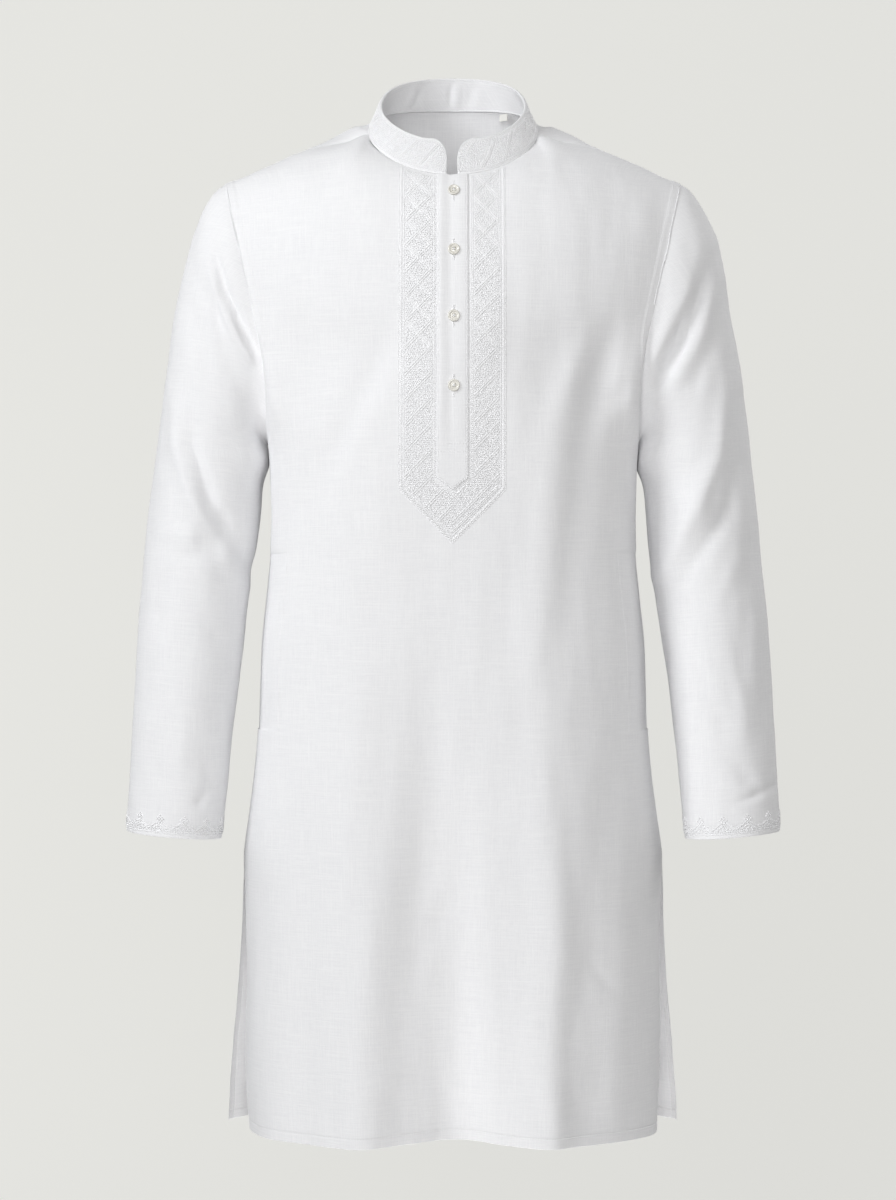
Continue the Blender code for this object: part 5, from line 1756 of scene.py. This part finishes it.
def linen(name, cloth):
    """Washed plain-weave linen: matt, with thick and thin threads both ways and soft slubs.

    The threads lie about 0.5 mm apart, too fine to show, so they are drawn about 1 mm apart. Its colour is
    painted shade in part: darker in the weave's hollows, over the threads' own uneven tone. Where the cloth
    is embroidered its colour is darker between the stitches, painted shade for the stitches' shadow, and a
    line of stitches presses a groove.
    """
    made, tree, shader = new_material(name)
    place = add_node(tree, "ShaderNodeUVMap", uv_map="cloth")[0]
    height = linen_height(tree, place)
    # Painted shade in part: the colour follows the weave's height and is darker in its hollows, while slubs
    # and a cloudy tone add the threads' own unevenness
    tone = add_node(tree, "ShaderNodeMapRange", {0: height, 1: 1.25, 2: 2.15, 4: 0.8})[0]
    cloudy = {"Vector": place, "Scale": 9.0, "Detail": 2.0}
    cloudy = add_node(tree, "ShaderNodeTexNoise", cloudy, noise_dimensions="2D")[0]
    tone = {0: cloudy, 1: 0.25, 2: tone}
    tone = add_node(tree, "ShaderNodeMath", tone, operation="MULTIPLY_ADD")[0]
    ground = {0: tone, 6: (*cloth.shade, 1.0), 7: (*cloth.light, 1.0)}
    ground = add_node(tree, "ShaderNodeMix", ground, data_type="RGBA")[2]

    # Painted shade: in the embroidered places the colour darkens in small speckles towards a dark copy of the
    # hollows' colour, for the shadow the stitches cast
    spacing = {"Vector": place, "Scale": 480.0, "Randomness": 0.7}
    spacing = add_node(tree, "ShaderNodeTexVoronoi", spacing, voronoi_dimensions="2D")[0]
    painted_stitch_shade = add_node(tree, "ShaderNodeMapRange", {0: spacing, 1: 0.1, 2: 0.55, 3: 0.24, 4: 0.0})[0]
    stitch_shade_mask = add_node(tree, "ShaderNodeAttribute", attribute_name="stitch_shade_mask")["Fac"]
    painted_stitch_shade = add_node(tree, "ShaderNodeMath", {0: painted_stitch_shade, 1: stitch_shade_mask}, operation="MULTIPLY")[0]
    colour = {0: painted_stitch_shade, 6: ground, 7: (*darker(cloth.shade, 0.55), 1.0)}
    colour = add_node(tree, "ShaderNodeMix", colour, data_type="RGBA")[2]

    groove = {0: nearest_line(tree), 2: GROOVE_WIDTH}
    groove = add_node(tree, "ShaderNodeMapRange", groove, interpolation_type="SMOOTHSTEP")[0]
    pressed = {"Strength": 0.55, "Distance": GROOVE_DEPTH, "Height": groove}
    pressed = add_node(tree, "ShaderNodeBump", pressed)[0]
    woven = {"Strength": 0.27 * cloth.weave, "Distance": WEAVE_DEPTH, "Height": height, "Normal": pressed}
    feed(tree, shader, {
        "Base Color": colour, "Normal": add_node(tree, "ShaderNodeBump", woven)[0],
        "Roughness": 0.92, "Specular IOR Level": 0.25, "Sheen Weight": 0.12, "Sheen Roughness": 0.45,
    })
    return made


def embroidery_cotton(name):
    """Mercerised embroidery cotton: soft sheen along the twist of its plies."""
    light = linear("#FAFAFB")
    finish = {"Roughness": 0.55, "Specular IOR Level": 0.35, "Sheen Weight": 0.2, "Sheen Roughness": 0.4}
    plies = {"Scale": 1800.0, "Detail": 1.0}
    return two_tone(name, finish, (darker(light, 0.93), light), "ShaderNodeTexNoise", plies, 0.4)


def mother_of_pearl(name):
    """Pale grey shell: polished to a soft gloss, with faint cloudy bands."""
    colours = (linear("#CDC9BD"), linear("#F2F0EA"))
    finish = {"Roughness": 0.28, "Specular IOR Level": 0.6, "Coat Weight": 0.5, "Coat Roughness": 0.15}
    bands = {"Scale": 260.0, "Detail": 2.0, "Distortion": 1.5}
    return two_tone(name, finish, colours, "ShaderNodeTexNoise", bands, 0.1)


def ribbon(name):
    """Plain satin ribbon with fine ribs across it."""
    light = linear("#F0EFEA")
    colours = (darker(light, 0.85), light)
    ribs = {"Scale": 700.0, "Distortion": 0.4}
    finish = {"Roughness": 0.45, "Sheen Weight": 0.3}
    return two_tone(name, finish, colours, "ShaderNodeTexWave", ribs, 0.3, bands_direction="Z")


def hole_shadow(name):
    """Painted shadow for the inside of a button's holes: dark and matt, so that no light comes back from it.
    """
    colours = (linear("#3A382F"), linear("#4A473D"))
    return two_tone(name, {"Roughness": 0.9}, colours, "ShaderNodeTexNoise", {"Scale": 2500.0})


def backdrop_paper(name, paper):
    """Matt backdrop paper, lit and glowing evenly, with painted shade: a little darker towards one side and
    the floor.
    """
    made, tree, shader = new_material(name)
    place = add_node(tree, "ShaderNodeTexCoord")["Object"]
    parts = add_node(tree, "ShaderNodeSeparateXYZ", {0: place})
    grain = {"Vector": place, "Scale": 0.6, "Detail": 2.0}
    grain = add_node(tree, "ShaderNodeTexNoise", grain)[0]
    # Painted shade: the paper darkens towards +X and towards the floor, with a faint uneven grain
    fade = 0.55
    for value, share in ((parts[0], -0.16), (parts[2], 0.10), (grain, 0.2)):
        fade = add_node(tree, "ShaderNodeMath", {0: value, 1: share, 2: fade}, operation="MULTIPLY_ADD")[0]
    colour = {0: fade, 6: (*darker(paper, 0.92), 1.0), 7: (*paper, 1.0)}
    colour = add_node(tree, "ShaderNodeMix", colour, data_type="RGBA")[2]
    feed(tree, shader, {
        "Base Color": colour, "Roughness": 0.95, "Specular IOR Level": 0.1,
        "Emission Color": colour, "Emission Strength": 0.67,
    })
    return made


# ------------------------------------------------------------------ settings

def colour_property(name, hex_colour, description):
    """A colour that a user may change."""
    return FloatVectorProperty(
        name=name, description=description, subtype="COLOR", default=linear(hex_colour), min=0.0, max=1.0
    )


def power_property(name, power, description):
    """The power of a light that a user may change."""
    return FloatProperty(name=name, description=description, subtype="POWER", default=power)


class KurtaCloth(bpy.types.PropertyGroup):
    """The linen."""

    # The colour runs from Hollows to Linen with the weave's height: painted shade in the hollows, over the
    # threads' own tone
    light: colour_property("Linen", "#F6F6F7", "Colour of the raised threads")
    shade: colour_property("Hollows", "#EDEDEF", "Colour between the threads")
    weave: FloatProperty(name="Weave", description="Strength of the weave's relief", default=1.0, min=0.0)


class KurtaStage(bpy.types.PropertyGroup):
    """The backdrop, the lights and the camera."""

    backdrop: colour_property("Backdrop", "#E8E8E4", "Colour of the paper backdrop")
    key: power_property("Key", 47.0, "Power of the key light")
    fill: power_property("Fill", 49.0, "Power of the front light")
    far: power_property("Far", 10.0, "Power of the light opposite the key")
    bounce: power_property("Bounce", 8.2, "Power of the light from below")
    back: power_property("Back", 30.0, "Power of the stronger light from behind")
    ambient: FloatProperty(name="Ambient", description="Brightness of the light all round", default=0.20)
    radius: FloatProperty(
        name="Radius", description="Radius of the backdrop", default=6.5, subtype="DISTANCE"
    )
    lens: FloatProperty(name="Lens", description="Focal length in millimetres", default=81.0)


# ------------------------------------------------------------------ operators

def threads():
    """The cotton of the embroidery and of the seams."""
    name = "mercerised_cotton"
    return bpy.data.materials.get(name) or embroidery_cotton(name)


class KURTA_OT_panels(bpy.types.Operator):
    """Makes the front and back panels with their stitching and the embroidered bib"""

    bl_idname = "kurta.panels"
    bl_label = "Front and Back"

    def execute(self, context):
        cloth = linen("washed_linen", context.scene.kurta_cloth)
        for front, name, flat in ((True, "front", (0.565, 1.04)), (False, "back", (0.57, 1.065))):
            piece = panel_skin(front).build(cloth)
            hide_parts(name + "_panel")
            on_it = [topstitch_panel(front).build("stitching_" + name, threads())]
            if front:
                on_it.append(embroider_bib().build("embroidery_bib", threads()))
        return {"FINISHED"}


class KURTA_OT_sleeves(bpy.types.Operator):
    """Makes both sleeves with their embroidered cuffs"""

    bl_idname = "kurta.sleeves"
    bl_label = "Sleeves"

    def execute(self, context):
        cloth = linen("washed_linen_sleeves", context.scene.kurta_cloth)
        for side, name in ((1, "left"), (-1, "right")):
            skin = sleeve_skin(side)
            piece = skin.build(cloth)
            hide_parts("sleeve_" + name)
            work = embroider_cuff(side)
            work.topstitch(skin.line(skin.from_foot, CUFF_TURN, False))
            on_it = [work.build("embroidery_cuff_" + name, threads())]
        return {"FINISHED"}


class KURTA_OT_collar(bpy.types.Operator):
    """Makes the standing collar with its embroidery, and the plain label inside it"""

    bl_idname = "kurta.collar"
    bl_label = "Collar"

    def execute(self, context):
        piece = collar_skin().build(linen("washed_linen_collar", context.scene.kurta_cloth))
        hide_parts("collar")
        on_it = [
            embroider_collar().build("embroidery_collar", threads()),
            stitch_collar().build("stitching_collar", threads()),
        ]
        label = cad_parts["neck_label"]
        label.data.materials.clear()
        label.data.materials.append(ribbon("woven_ribbon"))
        return {"FINISHED"}


class KURTA_OT_placket(bpy.types.Operator):
    """Makes the two bands of the placket and the strips inside the pocket mouths"""

    bl_idname = "kurta.placket"
    bl_label = "Placket and Pockets"

    def execute(self, context):
        cloth = linen("washed_linen_bands", context.scene.kurta_cloth)
        for skin, node, flat in (
            (overlap_skin(), "placket_overlap", (0.030, 0.325)),
            (underlap_skin(), "placket_underlap", (0.031, 0.31)),
            (facing_skin(1), "pocket_facing_left", (0.10, 0.26)),
            (facing_skin(-1), "pocket_facing_right", (0.10, 0.26)),
        ):
            piece = skin.build(cloth)
            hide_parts(node)
            if node == "placket_overlap":
                stitch_placket().build("stitching_placket", threads())
        return {"FINISHED"}


class KURTA_OT_buttons(bpy.types.Operator):
    """Makes the four buttons with their thread"""

    bl_idname = "kurta.buttons"
    bl_label = "Buttons"

    def execute(self, context):
        pearl, dark = mother_of_pearl("mother_of_pearl"), hole_shadow("hole_shadow")
        for number in range(1, len(BUTTON_Z) + 1):
            add_button(number, pearl, dark, threads())
        return {"FINISHED"}


BACKDROP_FLOOR = -2.6
BACKDROP_HEIGHT = 5.0
BACKDROP_CORNER = 1.5    # the radius of the curve from floor to wall
CORNER_STEPS = 8
BACKDROP_STEPS = 96
LIT_PLACE = Vector((0, 0, -0.45))        # where every light points
LIGHTS = (                  # name, place, size, tint, its power's setting and the share of it
    ("key", (-2.3, -1.7, 1.1), 1.2, (0.97, 0.985, 1.0), "key", 1.0),
    ("front_fill", (-0.3, -3.3, 0.3), 1.6, (1.0, 0.998, 0.995), "fill", 1.0),
    ("far_fill", (2.9, -0.9, 0.5), 1.4, (1.0, 0.985, 0.96), "far", 1.0),
    ("floor_bounce", (0.0, -0.2, -1.9), 0.8, (1.0, 0.99, 0.98), "bounce", 1.0),
    ("left_back_light", (-2.2, 1.8, 0.9), 1.4, (0.98, 0.99, 1.0), "back", 0.4),
    ("right_back_light", (2.2, 1.8, 0.9), 1.4, (0.98, 0.99, 1.0), "back", 1.0),
)
CAMERA_PLACE = (-0.005, -2.7, -0.478)


def add_backdrop(settings):
    """A floor that curves up into a round wall, shown to the camera and casting no light or shadow."""
    flat_end, middle = settings.radius - BACKDROP_CORNER, BACKDROP_FLOOR + BACKDROP_CORNER
    profile = [(0.02, BACKDROP_FLOOR), (flat_end, BACKDROP_FLOOR)]
    for i in range(1, CORNER_STEPS + 1):
        a = math.radians(90 * i / CORNER_STEPS)
        profile.append((flat_end + BACKDROP_CORNER * math.sin(a), middle - BACKDROP_CORNER * math.cos(a)))
    profile.append((settings.radius, middle + BACKDROP_HEIGHT))
    bm = turned(profile, BACKDROP_STEPS)
    low = [e for e in bm.edges if e.is_boundary and e.verts[0].co.z < BACKDROP_FLOOR + 0.1]
    bmesh.ops.holes_fill(bm, edges=low)
    bmesh.ops.recalc_face_normals(bm, faces=bm.faces[:])
    bmesh.ops.reverse_faces(bm, faces=bm.faces[:])
    paper = backdrop_paper("matt_backdrop_paper", tuple(settings.backdrop))
    backdrop = add_object("paper_backdrop", bm, paper)
    backdrop.visible_diffuse = False
    backdrop.visible_shadow = False


def add_lights(scene, settings):
    """A faint even light all round, and soft round lights that point at the kurta."""
    world = bpy.data.worlds.new("studio")
    scene.world = world
    world.use_nodes = True
    feed(world.node_tree, world.node_tree.nodes["Background"], {
        "Color": (1.0, 0.995, 0.985, 1.0), "Strength": settings.ambient
    })
    for name, place, size, tint, power, share in LIGHTS:
        lamp = bpy.data.lights.new(name, "AREA")
        lamp.shape = "DISK"
        lamp.size = size
        lamp.energy = getattr(settings, power) * share
        lamp.color = tint
        holder = bpy.data.objects.new(name, lamp)
        holder.location = place
        holder.rotation_euler = (LIT_PLACE - Vector(place)).to_track_quat("-Z", "Y").to_euler()
        scene.collection.objects.link(holder)


def add_camera(scene, settings):
    """The camera, level and straight in front."""
    camera = bpy.data.cameras.new("camera")
    camera.lens = settings.lens
    holder = bpy.data.objects.new("camera", camera)
    holder.location = CAMERA_PLACE
    holder.rotation_euler = (math.radians(90), 0, 0)
    scene.collection.objects.link(holder)
    scene.camera = holder
    scene.view_settings.view_transform = "Standard"
    scene.view_settings.look = "None"


class KURTA_OT_stage(bpy.types.Operator):
    """Makes the backdrop, the lights and the camera"""

    bl_idname = "kurta.stage"
    bl_label = "Stage"

    def execute(self, context):
        settings = context.scene.kurta_stage
        add_backdrop(settings)
        add_lights(context.scene, settings)
        add_camera(context.scene, settings)
        return {"FINISHED"}


class KURTA_PT_sidebar(bpy.types.Panel):
    """The kurta's panel in the sidebar"""

    bl_label = "Kurta"
    bl_idname = "KURTA_PT_sidebar"
    bl_space_type = "VIEW_3D"
    bl_region_type = "UI"
    bl_category = "Kurta"

    def draw(self, context):
        for name in STEPS:
            self.layout.operator("kurta." + name)
        for group in (context.scene.kurta_cloth, context.scene.kurta_stage):
            box = self.layout.box()
            for key in group.__annotations__:
                box.prop(group, key)


STEPS = ("panels", "sleeves", "collar", "placket", "buttons", "stage")
CLASSES = (
    KurtaCloth,
    KurtaStage,
    KURTA_OT_panels,
    KURTA_OT_sleeves,
    KURTA_OT_collar,
    KURTA_OT_placket,
    KURTA_OT_buttons,
    KURTA_OT_stage,
    KURTA_PT_sidebar,
)


def register():
    for cls in CLASSES:
        bpy.utils.register_class(cls)
    bpy.types.Scene.kurta_cloth = PointerProperty(type=KurtaCloth)
    bpy.types.Scene.kurta_stage = PointerProperty(type=KurtaStage)


def unregister():
    del bpy.types.Scene.kurta_stage
    del bpy.types.Scene.kurta_cloth
    for cls in reversed(CLASSES):
        bpy.utils.unregister_class(cls)


def main():
    register()
    for name in STEPS:
        getattr(bpy.ops.kurta, name)()


if __name__ == "__main__":
    main()
